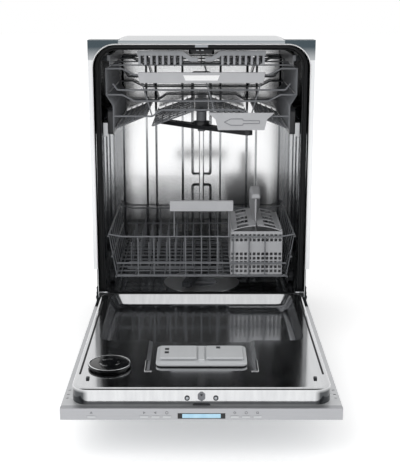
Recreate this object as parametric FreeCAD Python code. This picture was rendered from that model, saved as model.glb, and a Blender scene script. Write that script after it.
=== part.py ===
import FreeCAD, Part
import math
import os
from FreeCAD import Vector

# Under-counter dishwasher with its door open, in millimetres.
# X runs across, Y runs from the tub's front plane into the tub, Z runs up from the floor.

# Cabinet and tub
cabinet_width = 596.0
cabinet_height = 860.0
cabinet_depth = 522.0
side_gap = 11.0
top_gap = 10.8
tub_sheet = 1.2
tub_depth = 500.0
tub_corner = 60.0
tub_floor_top = 156.0
roll_height = 170.3
frame_foot = 238.0
flange_sheet = 1.0
seat_gap = 0.3
cut_past = 1.0
track_width = 40.0
sill_back = 8.0
rib_depth = 3.0
rib_foot = 30.0
panel_spans = ((60.0, 144.0), (174.0, 248.0))
loop_half = 28.0
loop_bead = 7.0
lower_loop_foot = 196.0
lower_loop_top = 382.0
loop_split = 26.0
upper_loop_drop = 108.0

# Corner plates, strike, lamp and door gasket
corner_plate_width = 80.0
corner_plate_height = 40.0
corner_plate_reach = 60.0
corner_plate_sheet = 1.5
fixing_hole_radius = 2.6
fixing_hole_back = 30.0
strike_width = 34.0
strike_depth = 14.0
strike_drop = 7.0
lamp_width = 68.0
lamp_depth = 40.0
lamp_drop = 28.0
lamp_corner = 7.0
lamp_back = 66.0
gasket_width = 16.0
gasket_depth = 13.0
gasket_gap = 0.7

# Base, feet and the machinery in the base
base_front = 52.0
base_bottom = 24.0
base_wall = 2.5
foot_radius = 21.0
foot_pad = 18.0
foot_stem = 6.0
foot_stem_length = 76.0
foot_boss_wall = 5.0
foot_spread = 252.0
front_foot_back = 74.0
rear_foot_back = 478.0
thread_gap = 0.3
sump_radius = 92.0
sump_depth = 70.0
sump_wall = 2.5
sump_back = 150.0
filter_radius = 46.0
filter_rim = 3.0
filter_depth = 56.0
filter_gap = 0.6
filter_plate_radius = 110.0
filter_plate_sheet = 1.0
grip_width = 6.0
grip_height = 5.0
pump_radius = 42.0
pump_length = 120.0
pump_volute = 55.0
pump_height = 84.0
pump_side = 60.0
pump_pipe_height = 100.0
drain_radius = 30.0
drain_length = 86.0
drain_side = -140.0
drain_height = 70.0
spigot_radius = 10.5
spigot_length = 24.0
valve_size = 44.0
valve_side = -225.0
valve_height = 66.0
valve_thread_radius = 13.2
valve_thread_length = 15.0
port_collar = 1.0
port_step = 1.5
tank_thickness = 9.5
tank_front = 110.0
tank_length = 290.0
tank_foot = 300.0
tank_height = 380.0
mat_thickness = 8.0
mat_margin = 34.0
riser_width = 16.0
riser_depth = 14.0
riser_bead = 6.0

# Door, seen open and level
door_top_gap = 7.0
door_heel = 46.0
door_edge = 25.7
door_sheet = 1.0
panel_hole_radius = 2.5
panel_hole_spread = 200.0
panel_hole_backs = (200.0, 560.0)
pivot_back = 15.0
pivot_height = 152.0
flange_drop = 19.7
liner_sheet = 1.2
liner_half = 277.0
liner_front_margin = 19.0
liner_tail = 9.0
liner_corner = 36.0
liner_round = 6.0
recess_depth = 26.0
recess_half = 248.0
recess_tail = 14.0
recess_front = 380.0
recess_slope = 20.0
recess_tail_slope = 47.0
recess_corner = 24.0
bay_half = 126.0
bay_front = 580.0
bay_depth = 6.0
bay_slope = 10.0
bay_run_in = 26.0
panel_depth = 16.0
panel_wall = 2.0
button_length = 17.0
button_height = 4.0
button_depth = 9.0
button_proud = 0.6
button_gap = 0.3
button_drop = 18.9
button_places = (-232.0, -121.0, -97.0, -73.0, 70.0, 94.0, 118.0)
display_length = 100.0
display_height = 12.0
display_drop = 16.8
display_depth = 6.0
latch_width = 16.0
latch_height = 20.0
latch_depth = 34.0
latch_proud = 2.5
dispenser_width = 206.0
dispenser_length = 117.0
dispenser_back = 420.0
dispenser_rim = 2.0
dispenser_sunk = 26.0
dispenser_corner = 14.0
lid_width = 84.0
lid_length = 82.0
lid_sheet = 3.0
lid_split = 22.0
lid_inset = 9.0
lid_gap = 0.4
lid_lip = 4.0
lid_pin = 0.9
lid_ear_sheet = 2.5
lid_ear_half = 1.8
well_width = 62.0
well_length = 58.0
well_depth = 22.0
well_corner = 10.0
filler_radius = 14.0
filler_depth = 12.0
vent_side = -205.0
vent_front = 545.0
vent_radius = 48.0
vent_cap_height = 6.0
vent_neck_radius = 41.0
vent_neck_height = 4.0
hinge_sheet = 3.5
hinge_pin_radius = 4.0
hinge_eye_radius = 11.0
hinge_run_gap = 0.06
hinge_lever = 26.0
hinge_lever_half = 5.0
hinge_lever_angle = 70.0
hinge_arm_length = 150.0
hinge_strap = 30.0
bracket_sheet = 2.0
bracket_length = 78.0
spring_radius = 6.5
spring_hook_radius = 1.0
spring_hook_gap = 0.2
spring_start = 130.0
spring_end = 300.0
spring_anchor_back = 345.0
spring_anchor_height = 66.0
peg_radius = 3.0

# Racks and tray
rack_front = 54.0
rack_back = 470.0
wire_thick = 2.4
wire_thin = 1.8
wire_bend = 9.0
rail_height = 34.0
rail_sheet = 1.5
rail_lip = 10.0
rail_web_side = 268.5
rail_drop = 230.0
rail_gap = 0.5
rail_pad_length = 40.0
plate_height = 70.0
plate_margin = 20.0
wire_gap = 0.4
wire_ease = 0.3
wire_step = 3.2
upper_half = 257.0
upper_waist_half = 239.0
upper_height = 164.0
upper_shoulder_rise = 94.0
upper_waist_rise = 65.0
upper_rail_mid_rise = 107.0
upper_rail_dip = 17.0
upper_rail_run = 30.0
brace_head_set = 14.0
brace_foot_set = 46.0
upper_rail_low_rise = 36.0
upper_pitch = 26.0
slope_runs = ((-235.0, 4.0, -150.0, 38.0), (-134.0, 10.0, -22.0, 51.0))
slope_wires = 6
slope_cross_pitch = 48.0
upper_handle_half = 171.0
upper_handle_taper = 5.0
upper_handle_height = 28.0
upper_handle_depth = 11.0
upper_handle_drop = 37.5
handle_margin = 12.0
handle_wall = 5.0
knife_plate_top_half = 90.0
knife_plate_waist_half = 70.0
knife_plate_foot_half = 63.0
knife_plate_side = 108.0
knife_plate_rise = 10.0
knife_plate_shoulder = 18.0
knife_plate_height = 47.0
knife_plate_sheet = 3.0
arm_hub_back = 262.0
duct_radius = 11.0
duct_clip_height = 37.0
hub_radius = 15.0
spindle_radius = 5.0
spindle_gap = 0.06
nut_radius = 11.0
nut_height = 6.0
upper_arm_length = 196.0
upper_arm_turn = -45.0
upper_arm_drop = 40.0
arm_width = 38.0
arm_tip_width = 26.0
arm_thickness = 12.0
arm_gap = 0.6
arm_collar_radius = 24.0
arm_collar_height = 10.0
jet_radius = 1.6
jet_pitch = 34.0
lower_arm_length = 212.0
lower_arm_turn = 78.0
lower_arm_bottom = 168.0
lower_hub_radius = 20.0
lower_spindle_radius = 8.0
hub_post_radius = 12.0
lower_half = 262.0
lower_base_half = 238.0
side_foot_step = 4.0
lower_top = 317.0
lower_end_rise = 7.0
lower_end_run = 40.0
lower_rail = 240.0
lower_base = 199.0
lower_back_top = 306.0
lower_back_rail = 256.0
lower_front_pitch = 44.5
lower_front_count = 9
lower_side_pitch = 46.0
lower_base_pitch = 40.0
lower_post_spread = 76.0
lower_handle_half = 88.0
lower_handle_bottom = 391.0
lower_handle_height = 29.0
lower_handle_depth = 16.0
tine_height = 78.0
tine_radius = 1.5
tine_pitch = 24.0
tine_rows = (120.0, 190.0, 260.0, 330.0, 400.0)
tine_left = -214.0
tine_right = 62.0
wheel_radius = 16.5
wheel_width = 12.0
wheel_round = 2.0
wheel_side = 250.0
wheel_axle_radius = 3.0
wheel_run_gap = 0.08
wheel_hub_radius = 7.0
wheel_head_radius = 5.0
wheel_places = (110.0, 400.0)
basket_left = 82.0
basket_width = 145.0
basket_front = 62.0
basket_length = 230.0
basket_height = 125.6
basket_wall = 2.0
basket_columns = 6
basket_side_columns = 9
basket_rows = ((6.0, 30.0), (36.0, 66.0), (98.0, 116.0))
basket_bar = 5.0
basket_lid_rise = 16.0
basket_lid_gap = 0.5
basket_lid_slots = 5
basket_lid_rim = 4.0
basket_lid_barrel = 2.5
basket_lid_pin = 1.3
pin_run_gap = 0.08
basket_slot_inner = 22.0
basket_slot_outer = 54.0
blade_sheet = 4.0
blade_length = 64.0
blade_top = 436.0
blade_front = 120.0
grip_cap_width = 30.0
grip_cap_height = 12.0
tray_half = 252.0
tray_hang = 19.0
tray_bar_height = 12.0
tray_bar_drop = 16.0
tray_comb_half = 172.0
tray_comb_inner = 10.0
tray_flat_inner = 26.0
tray_flat_outer = 50.0
tray_bar_front = 46.0
tray_bar_depth = 14.0
tray_tooth_drop = 36.0
tray_tooth_width = 6.0
tray_tooth_set = 3.0
tray_teeth = 8
tray_tooth_length = 110.0
tray_runner_height = 14.0
tray_runner_width = 5.0
tray_runner_drop = 26.0
tray_web = 2.5
tray_cross_pitch = 133.0
tray_wire_pitch = 73.0

# Places that several pieces share
half_width = cabinet_width / 2
tub_half = half_width - side_gap - tub_sheet
tub_outer = tub_half + tub_sheet
tub_ceiling = cabinet_height - top_gap - tub_sheet
tub_floor_under = tub_floor_top - tub_sheet
upper_loop_foot = lower_loop_top + loop_split
loop_heights = ((lower_loop_foot, lower_loop_top), (upper_loop_foot, tub_ceiling - upper_loop_drop))
door_reach = cabinet_height - door_top_gap - pivot_height - pivot_back
origin_shift = (door_reach - cabinet_depth - spigot_length) / 2
flange_height = pivot_height - flange_drop
door_bottom = flange_height - door_edge
door_face_closed = pivot_back + roll_height - pivot_height
liner_front = -door_reach + liner_front_margin
hinge_plate_side = tub_outer + bracket_sheet + rail_gap
plate_side = rail_web_side - 2 * rail_gap - rail_sheet - rail_lip
basket_foot = lower_base + wire_step + wire_thin + seat_gap
basket_top = basket_foot + basket_height
frame_top = cabinet_height - corner_plate_sheet
spring_side = tub_outer + flange_sheet
rail_middle_height = tub_ceiling - rail_drop
upper_side_foot = rail_middle_height
upper_top = upper_side_foot + upper_height
upper_shoulder = upper_side_foot + upper_shoulder_rise
upper_waist = upper_side_foot + upper_waist_rise
upper_rail_mid = upper_side_foot + upper_rail_mid_rise
upper_rail_low = upper_side_foot + upper_rail_low_rise
upper_handle_bottom = upper_top - upper_handle_drop
knife_plate_top = upper_rail_low + knife_plate_rise
duct_height = upper_side_foot + slope_runs[-1][3] - duct_clip_height
upper_arm_height = duct_height - upper_arm_drop
tray_bar_top = tub_ceiling - tray_hang
tray_tooth_foot = tray_bar_top - tray_tooth_drop
tray_runner_bottom = tray_bar_top - tray_runner_drop


def box(x0, x1, y0, y1, z0, z1):
    return Part.makeBox(x1 - x0, y1 - y0, z1 - z0, Vector(x0, y0, z0))


def rod(start, end, radius):
    a = Vector(*start)
    b = Vector(*end)
    return Part.makeCylinder(radius, (b - a).Length, a, b - a)


def fuse(solids):
    if len(solids) == 1:
        return solids[0]
    return solids[0].multiFuse(solids[1:])


def mirrored(shape):
    return shape.mirror(Vector(0, 0, 0), Vector(1, 0, 0))


def both_sides(shape):
    return [shape, mirrored(shape)]


def upright_edges(shape, axis):
    lines = [e for e in shape.Edges if isinstance(e.Curve, Part.Line)]
    return [e for e in lines if abs(e.Curve.Direction.dot(axis)) > 0.999]


def rounded_plate(x0, x1, y0, y1, z0, z1, radius):
    plate = box(x0, x1, y0, y1, z0, z1)
    return plate.makeFillet(radius, upright_edges(plate, Vector(0, 0, 1)))


def arch(half, bottom, top, radius, y0, y1):
    body = box(-half, half, y0, y1, bottom, top)
    rims = [e for e in upright_edges(body, Vector(0, 1, 0)) if e.CenterOfMass.z > top - 1]
    return body.makeFillet(radius, rims)


def prism(points, axis_start, axis_length, plane):
    """Extrude an outline drawn in the named plane along the axis that is square to it."""
    if plane == "XZ":
        corners = [Vector(a, axis_start, b) for a, b in points]
        sweep = Vector(0, axis_length, 0)
    elif plane == "YZ":
        corners = [Vector(axis_start, a, b) for a, b in points]
        sweep = Vector(axis_length, 0, 0)
    else:
        corners = [Vector(a, b, axis_start) for a, b in points]
        sweep = Vector(0, 0, axis_length)
    return Part.Face(Part.makePolygon(corners + corners[:1])).extrude(sweep)


def bent_rod(points, radius):
    corners = [Vector(*p) for p in points]
    edges = []
    start = corners[0]
    for before, corner, after in zip(corners, corners[1:], corners[2:]):
        into = (corner - before).normalize()
        out = (after - corner).normalize()
        half_turn = into.getAngle(out) / 2
        reach = wire_bend * math.tan(half_turn)
        middle = corner + (out - into).normalize() * (wire_bend / math.cos(half_turn) - wire_bend)
        edges.append(Part.makeLine(start, corner - into * reach))
        edges.append(Part.Arc(corner - into * reach, middle, corner + out * reach).toShape())
        start = corner + out * reach
    edges.append(Part.makeLine(start, corners[-1]))
    ring = Part.Wire(Part.makeCircle(radius, corners[0], corners[1] - corners[0]))
    return Part.Wire(edges).makePipeShell([ring], True, False)


def spaced(first, last, pitch):
    count = max(1, round((last - first) / pitch))
    return [first + (last - first) * i / count for i in range(count + 1)]


def save(name, solids):
    shape = solids[0] if len(solids) == 1 else Part.makeCompound(solids)
    moved = shape.translated(Vector(0, origin_shift, 0))
    moved.exportStep("parts/" + name + ".step")


def make_tub_wrap():
    outside = arch(tub_outer, tub_floor_top, tub_ceiling + tub_sheet, tub_corner + tub_sheet, 0, tub_depth)
    inside = arch(tub_half, tub_floor_top - cut_past, tub_ceiling, tub_corner, -cut_past,
                  tub_depth + cut_past)
    return [outside.cut(inside)]


def make_tub_back():
    sheet = arch(tub_outer, tub_floor_top, tub_ceiling + tub_sheet, tub_corner + tub_sheet,
                 tub_depth, tub_depth + tub_sheet)
    ribs = []
    for inner, outer in panel_spans:
        ribs += both_sides(box(inner, outer, tub_depth - rib_depth, tub_depth, tub_floor_top + rib_foot,
                               tub_ceiling - tub_corner))
    for low, high in loop_heights:
        ring = box(-loop_half, loop_half, tub_depth - rib_depth, tub_depth, low, high)
        ring = ring.makeFillet(loop_half - loop_bead, upright_edges(ring, Vector(0, 1, 0)))
        inner = box(-loop_half + loop_bead, loop_half - loop_bead, tub_depth - rib_depth, tub_depth,
                    low + loop_bead, high - loop_bead)
        ribs.append(ring.cut(inner))
    return [fuse([sheet] + ribs)]


def make_tub_floor():
    pan = box(-tub_outer, tub_outer, sill_back, tub_depth, tub_floor_under, tub_floor_top)
    sill = box(-tub_half, tub_half, sill_back, sill_back + tub_sheet, tub_floor_top, roll_height)
    inner_side = tub_half - track_width
    riser_wall = box(inner_side, inner_side + tub_sheet, sill_back + tub_sheet, tub_depth, tub_floor_top,
                     roll_height)
    deck = box(inner_side + tub_sheet, tub_half, sill_back + tub_sheet, tub_depth, roll_height - tub_sheet,
               roll_height)
    track = riser_wall.fuse(deck)
    floor = fuse([pan, sill] + both_sides(track)).removeSplitter()
    sump_hole = Part.makeCylinder(sump_radius, tub_sheet + 2 * cut_past,
                                  Vector(0, sump_back, tub_floor_under - cut_past))
    hub_hole = Part.makeCylinder(hub_post_radius + arm_gap, tub_sheet + 2 * cut_past,
                                 Vector(0, arm_hub_back, tub_floor_under - cut_past))
    return [floor.cut(sump_hole.fuse(hub_hole))]


def make_front_flange():
    plate = box(-half_width, half_width, -flange_sheet, 0, frame_foot, frame_top)
    ring = plate.cut(arch(tub_half, frame_foot - cut_past, tub_ceiling, tub_corner,
                          -flange_sheet - cut_past, cut_past))
    shoulder = tub_ceiling - tub_corner
    head = ring.common(box(-half_width, half_width, -flange_sheet, 0, shoulder, frame_top))
    left = ring.common(box(-half_width, 0, -flange_sheet, 0, frame_foot, shoulder))
    return [head, left, mirrored(left)]


def make_corner_plates():
    inner = half_width - corner_plate_width
    front = -flange_sheet - corner_plate_sheet
    face = box(inner, half_width, front, -flange_sheet, tub_ceiling - corner_plate_height, frame_top)
    face = face.cut(arch(tub_half, tub_floor_top, tub_ceiling, tub_corner, front - cut_past, cut_past))
    roof = box(inner, half_width, front, corner_plate_reach, frame_top, cabinet_height)
    hole_place = Vector(half_width - corner_plate_width / 2, fixing_hole_back, frame_top - cut_past)
    hole = Part.makeCylinder(fixing_hole_radius, corner_plate_sheet + 2 * cut_past, hole_place)
    return both_sides(face.fuse(roof).cut(hole))


def make_latch_strike():
    strike = box(-strike_width / 2, strike_width / 2, 0, strike_depth, tub_ceiling - strike_drop, tub_ceiling)
    throat = box(-strike_width / 4, strike_width / 4, strike_depth / 3, strike_depth * 2 / 3,
                 tub_ceiling - strike_drop - cut_past, tub_ceiling - strike_drop / 2)
    return [strike.cut(throat)]


def make_ceiling_lamp():
    return [rounded_plate(-lamp_width / 2, lamp_width / 2, lamp_back, lamp_back + lamp_depth,
                          tub_ceiling - lamp_drop, tub_ceiling, lamp_corner)]


def make_door_gasket():
    front = door_face_closed + gasket_gap
    half = tub_half - seat_gap
    top = tub_ceiling - seat_gap
    corner = tub_corner - seat_gap
    band = arch(half, roll_height + seat_gap, top, corner, front, front + gasket_depth)
    throat = arch(half - gasket_width, roll_height - cut_past, top - gasket_width, corner - gasket_width,
                  front - cut_past, front + gasket_depth + cut_past)
    return [band.cut(throat)]


def foot_places():
    return ((-foot_spread, front_foot_back), (foot_spread, front_foot_back), (0, rear_foot_back))


def make_base_frame():
    top = tub_floor_under
    shell = box(-half_width, half_width, base_front, cabinet_depth, base_bottom, top)
    room = box(-half_width + base_wall, half_width - base_wall, base_front + base_wall,
               cabinet_depth - base_wall,
               base_bottom + base_wall, top + cut_past)
    frame = shell.cut(room)
    for x, y in foot_places():
        boss_radius = foot_stem + thread_gap + foot_boss_wall
        frame = frame.fuse(Part.makeCylinder(boss_radius, foot_stem_length, Vector(x, y, base_bottom)))
        frame = frame.cut(Part.makeCylinder(foot_stem + thread_gap, foot_stem_length + 2 * cut_past,
                                            Vector(x, y, base_bottom - cut_past)))
    rear = cabinet_depth - base_wall - cut_past
    spigot_hole = rod((drain_side, rear, drain_height), (drain_side, cabinet_depth + cut_past, drain_height),
                      spigot_radius + port_step + seat_gap)
    thread_hole = rod((valve_side, rear, valve_height), (valve_side, cabinet_depth + cut_past, valve_height),
                      valve_thread_radius + port_step + seat_gap)
    peg_back = spring_anchor_back + peg_radius + wire_gap
    pegs = both_sides(rod((spring_side - spring_radius, peg_back, spring_anchor_height),
                          (half_width - base_wall, peg_back, spring_anchor_height), peg_radius))
    return [fuse([frame.cut(spigot_hole.fuse(thread_hole))] + pegs)]


def make_foot(x, y):
    pad = Part.makeCylinder(foot_radius, foot_pad, Vector(x, y, 0))
    stem = Part.makeCylinder(foot_stem, base_bottom + foot_stem_length - foot_pad, Vector(x, y, foot_pad))
    return [pad.fuse(stem)]


def make_sump():
    top = tub_floor_under
    outside = Part.makeCylinder(sump_radius + sump_wall, sump_depth, Vector(0, sump_back, top - sump_depth))
    inside = Part.makeCylinder(sump_radius, sump_depth, Vector(0, sump_back, top - sump_depth + sump_wall))
    hub_post = Part.makeCylinder(hub_post_radius, lower_arm_bottom - arm_gap - top + sump_depth / 2,
                                 Vector(0, arm_hub_back, top - sump_depth / 2))
    seat_top = lower_arm_bottom - arm_gap
    hub_seat = Part.makeCylinder(lower_hub_radius, seat_top - tub_floor_top,
                                 Vector(0, arm_hub_back, tub_floor_top))
    nut_foot = lower_arm_bottom + arm_thickness + arm_collar_height + arm_gap
    spindle = Part.makeCylinder(lower_spindle_radius, nut_foot - seat_top, Vector(0, arm_hub_back, seat_top))
    nut = Part.makeCylinder(nut_radius + spindle_radius, nut_height / 2, Vector(0, arm_hub_back, nut_foot))
    channel = box(-hub_post_radius, hub_post_radius, sump_back + sump_radius + sump_wall / 2, arm_hub_back,
                  top - sump_depth / 2, top - sump_depth / 2 + hub_post_radius)
    return [fuse([outside.cut(inside), hub_post, hub_seat, spindle, nut, channel])]


def make_filter_plate():
    plate = Part.makeCylinder(filter_plate_radius, filter_plate_sheet, Vector(0, sump_back, tub_floor_top))
    plate = plate.cut(Part.makeCylinder(filter_radius + filter_gap, filter_plate_sheet + 2 * cut_past,
                                        Vector(0, sump_back, tub_floor_top - cut_past)))
    keep = box(-filter_plate_radius, filter_plate_radius, 0, arm_hub_back - lower_hub_radius - 1, 0,
               cabinet_height)
    return [plate.common(keep)]


def make_filter_cup():
    top = tub_floor_top + filter_plate_sheet
    cup = Part.makeCylinder(filter_radius, filter_depth, Vector(0, sump_back, top - filter_depth))
    cup = cup.cut(Part.makeCylinder(filter_radius - filter_rim, filter_depth,
                                    Vector(0, sump_back, top - filter_depth + filter_rim)))
    grip = box(-filter_radius + 1, filter_radius - 1, sump_back - grip_width / 2, sump_back + grip_width / 2,
               top - grip_height, top)
    return [cup.fuse(grip)]


def make_circulation_pump():
    back = arm_hub_back + pump_volute
    motor = rod((pump_side, back, pump_height), (pump_side, back + pump_length, pump_height), pump_radius)
    volute = rod((pump_side, back - pump_radius, pump_height), (pump_side, back, pump_height), pump_volute)
    cradle = box(pump_side - pump_radius, pump_side + pump_radius, back, back + pump_length,
                 base_bottom + base_wall, pump_height)
    near_side = pump_side - duct_radius
    pipe_front = sump_back + math.sqrt((sump_radius + sump_wall) ** 2 - near_side ** 2) + seat_gap
    pipe = rod((pump_side, pipe_front, pump_pipe_height), (pump_side, back - pump_radius, pump_pipe_height),
               duct_radius)
    return [fuse([motor, volute, cradle, pipe])]


def make_drain_pump():
    back = cabinet_depth - base_wall - seat_gap
    body = rod((drain_side, back - drain_length, drain_height), (drain_side, back, drain_height),
               drain_radius)
    collar_end = cabinet_depth + port_collar
    collar = rod((drain_side, back, drain_height), (drain_side, collar_end, drain_height),
                 spigot_radius + port_step)
    spigot = rod((drain_side, collar_end, drain_height), (drain_side, cabinet_depth + spigot_length,
                                                          drain_height),
                 spigot_radius)
    cradle = box(drain_side - drain_radius, drain_side + drain_radius, back - drain_length, back,
                 base_bottom + base_wall, drain_height)
    return [fuse([body, cradle, collar, spigot])]


def make_inlet_valve():
    back = cabinet_depth - base_wall - seat_gap
    half = valve_size / 2
    body = box(valve_side - half, valve_side + half, back - valve_size, back, base_bottom + base_wall,
               valve_height + half)
    collar_end = cabinet_depth + port_collar
    collar = rod((valve_side, back, valve_height), (valve_side, collar_end, valve_height),
                 valve_thread_radius + port_step)
    thread = rod((valve_side, collar_end, valve_height), (valve_side, cabinet_depth + valve_thread_length,
                                                          valve_height),
                 valve_thread_radius)
    return [fuse([body, collar, thread])]


def make_air_break_tank():
    tank = box(-tub_outer - tank_thickness, -tub_outer, tank_front, tank_front + tank_length,
               tank_foot, tank_foot + tank_height)
    return [tank.makeFillet(tank_thickness * 2, upright_edges(tank, Vector(1, 0, 0)))]


def make_insulation_mats():
    shoulder = tub_ceiling - tub_corner
    side = box(tub_outer, tub_outer + mat_thickness, corner_plate_reach + mat_margin, tub_depth - mat_margin,
               frame_foot + mat_margin, shoulder - 1)
    back_half = tub_half - tub_corner
    back_start = tub_depth + tub_sheet
    back = box(-back_half, back_half, back_start, back_start + mat_thickness,
               frame_foot + mat_margin, shoulder - mat_margin)
    return [side, back]


def make_feed_riser():
    back = tub_depth - rib_depth - seat_gap
    top = duct_height + duct_radius + riser_bead
    pipe = rounded_plate(-riser_width / 2, riser_width / 2, back - riser_depth, back,
                         tub_floor_top + seat_gap, top,
                         riser_depth / 3)
    return [pipe]


def make_rack_rails():
    low = rail_middle_height - rail_height / 2
    high = rail_middle_height + rail_height / 2
    channel = rail_channel(rail_web_side, low, high, rail_lip)
    pads = [box(rail_web_side + rail_sheet, tub_half, y, y + rail_pad_length, low, high)
            for y in (rack_front + rail_pad_length, rack_back - 2 * rail_pad_length)]
    upper = fuse([channel] + pads)
    low = tray_runner_bottom - rail_gap - rail_sheet
    high = tray_runner_bottom + tray_runner_height + rail_gap + rail_sheet
    web = tray_half + rail_gap
    channel = rail_channel(web, low, high, tray_runner_width)
    pad_top = high - tray_runner_height / 2
    rise = pad_top - tub_ceiling + tub_corner
    pad_end = tub_half - tub_corner + math.sqrt(tub_corner ** 2 - rise ** 2) - seat_gap
    pads = [box(web + rail_sheet, pad_end, y, y + rail_pad_length, low, pad_top)
            for y in (rack_front + rail_pad_length, rack_back - 2 * rail_pad_length)]
    tray = fuse([channel] + pads)
    return both_sides(upper) + both_sides(tray)


def rail_channel(web, low, high, lip):
    outside = box(web - lip, web + rail_sheet, rack_front, rack_back, low, high)
    inside = box(web - lip - cut_past, web, rack_front - cut_past, rack_back + cut_past, low + rail_sheet,
                 high - rail_sheet)
    return outside.cut(inside)


def make_rail_middle():
    low = rail_middle_height - rail_height / 2 + rail_sheet + rail_gap
    high = rail_middle_height + rail_height / 2 - rail_sheet - rail_gap
    web = rail_web_side - rail_gap - rail_sheet
    return both_sides(rail_channel(web, low, high, rail_lip))


def make_runners():
    low = rail_middle_height - rail_height / 2 + 2 * (rail_sheet + rail_gap)
    high = rail_middle_height + rail_height / 2 - 2 * (rail_sheet + rail_gap)
    return both_sides(box(plate_side, plate_side + rail_lip, rack_front, rack_back, low, high))


def make_side_plates():
    low = rail_middle_height - rail_height / 2
    inner = upper_waist_half + wire_thick + seat_gap
    plate = box(inner, plate_side, rack_front + plate_margin, rack_back - plate_margin, low,
                low + plate_height)
    return both_sides(plate.makeFillet(wire_bend, upright_edges(plate, Vector(1, 0, 0))))


def wall_bars(outlines, radius, y):
    return [bent_rod([(x, y, z) for x, z in outline], radius) for outline in outlines]


def mirror_outline(half_outline):
    return [(-x, z) for x, z in half_outline] + [(x, z) for x, z in reversed(half_outline)]


def make_upper_rack_wall(y):
    dip = upper_handle_half + wire_bend
    outer = dip + 2 * upper_rail_dip
    rails = [
        mirror_outline([(upper_half, upper_top), (outer, upper_top), (dip, upper_top - upper_rail_dip)]),
        mirror_outline([(upper_half, upper_shoulder), (outer, upper_shoulder),
                        (dip, upper_shoulder - upper_rail_dip)]),
        mirror_outline([(upper_waist_half, upper_rail_low), (knife_plate_side + upper_pitch, upper_rail_low),
                        (knife_plate_side, upper_rail_low + upper_rail_dip)]),
        mirror_outline([(upper_waist_half, upper_rail_mid + upper_rail_dip),
                        (upper_half - upper_rail_run, upper_rail_mid)]),
    ]
    ends = [(upper_half, upper_top), (upper_half, upper_shoulder), (upper_waist_half, upper_waist),
            (upper_waist_half, upper_side_foot)]
    braces = [[(dip - brace_head_set, upper_top - upper_rail_dip), (dip - brace_foot_set, upper_rail_low)]]
    uprights = []
    for outline in [ends] + braces:
        uprights += [outline, [(-x, z) for x, z in outline]]
    uprights.append([(8, upper_top - upper_rail_dip), (34, upper_rail_low + upper_rail_dip)])
    return fuse(wall_bars(rails, wire_thick, y) + wall_bars(uprights, wire_thin, y))


def make_upper_rack_side():
    front = rack_front + wire_thick + wire_gap
    back = rack_back - wire_thick - wire_gap
    rails = [rod((x, front, z), (x, back, z), wire_thick)
             for x, z in ((upper_half, upper_top), (upper_half, upper_shoulder),
                          (upper_waist_half, upper_side_foot))]
    profile = [(upper_half, upper_top), (upper_half, upper_shoulder), (upper_waist_half, upper_waist),
               (upper_waist_half, upper_side_foot)]
    bars = []
    for y in spaced(front + upper_pitch, back - upper_pitch, upper_pitch):
        bars += wall_bars([profile], wire_thin, y)
    return fuse(rails + bars)


def make_rack_slope(x0, z0, x1, z1):
    front = rack_front + wire_thick + wire_gap
    back = rack_back - wire_thick - wire_gap
    bars = []
    for i in range(slope_wires):
        share = i / (slope_wires - 1)
        x = x0 + (x1 - x0) * share
        z = z0 + (z1 - z0) * share
        bars.append(rod((x, front, z), (x, back, z), wire_thin))
    for y in spaced(front + upper_pitch, back - upper_pitch, slope_cross_pitch):
        bars.append(rod((x0, y, z0 - wire_step), (x1, y, z1 - wire_step), wire_thick))
    return fuse(bars)


def make_upper_rack_basket():
    side = make_upper_rack_side()
    solids = [make_upper_rack_wall(rack_front), make_upper_rack_wall(rack_back)] + both_sides(side)
    for x0, rise0, x1, rise1 in slope_runs:
        solids += both_sides(make_rack_slope(x0, upper_side_foot + rise0, x1, upper_side_foot + rise1))
    return solids


def make_upper_rack_handle():
    back = rack_front - wire_thick - wire_gap
    top = upper_handle_bottom + upper_handle_height
    foot_half = upper_handle_half - upper_handle_taper
    outline = [(-upper_handle_half, top), (upper_handle_half, top), (foot_half, upper_handle_bottom),
               (-foot_half, upper_handle_bottom)]
    bar = prism(outline, back - upper_handle_depth, upper_handle_depth, "XZ")
    groove = box(-foot_half + handle_margin, foot_half - handle_margin, back - upper_handle_depth / 2,
                 back + cut_past,
                 upper_handle_bottom - cut_past, top - handle_wall)
    return [bar.cut(groove)]


def make_knife_holder():
    back = rack_front - wire_thick - wire_gap
    rows = ((knife_plate_top_half, knife_plate_top),
            (knife_plate_waist_half, knife_plate_top - knife_plate_shoulder),
            (knife_plate_foot_half, knife_plate_top - knife_plate_height))
    outline = [(knife_plate_side - half, z) for half, z in rows]
    outline += [(knife_plate_side + half, z) for half, z in reversed(rows)]
    return [prism(outline, back - knife_plate_sheet, knife_plate_sheet, "XZ")]


def make_upper_arm_duct():
    hub_foot = upper_arm_height + arm_thickness + arm_collar_height + arm_gap
    back = tub_depth - rib_depth - 2 * seat_gap - riser_depth
    pipe = rod((0, arm_hub_back, duct_height), (0, back, duct_height), duct_radius)
    hub = Part.makeCylinder(hub_radius, duct_height + duct_radius - hub_foot,
                            Vector(0, arm_hub_back, hub_foot))
    spindle_foot = upper_arm_height - arm_gap
    spindle = Part.makeCylinder(spindle_radius, hub_foot - spindle_foot,
                                Vector(0, arm_hub_back, spindle_foot))
    nut = Part.makeCylinder(nut_radius, nut_height, Vector(0, arm_hub_back, spindle_foot - nut_height))
    inner_slope = slope_runs[-1]
    clip_half = -inner_slope[2] - wire_thin - wire_gap
    clip_middle = (arm_hub_back + rack_back) / 2
    clip = box(-clip_half, clip_half, clip_middle, clip_middle + hub_radius, duct_height,
               duct_height + duct_clip_height)
    return [fuse([pipe, hub, spindle, nut, clip])]


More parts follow.
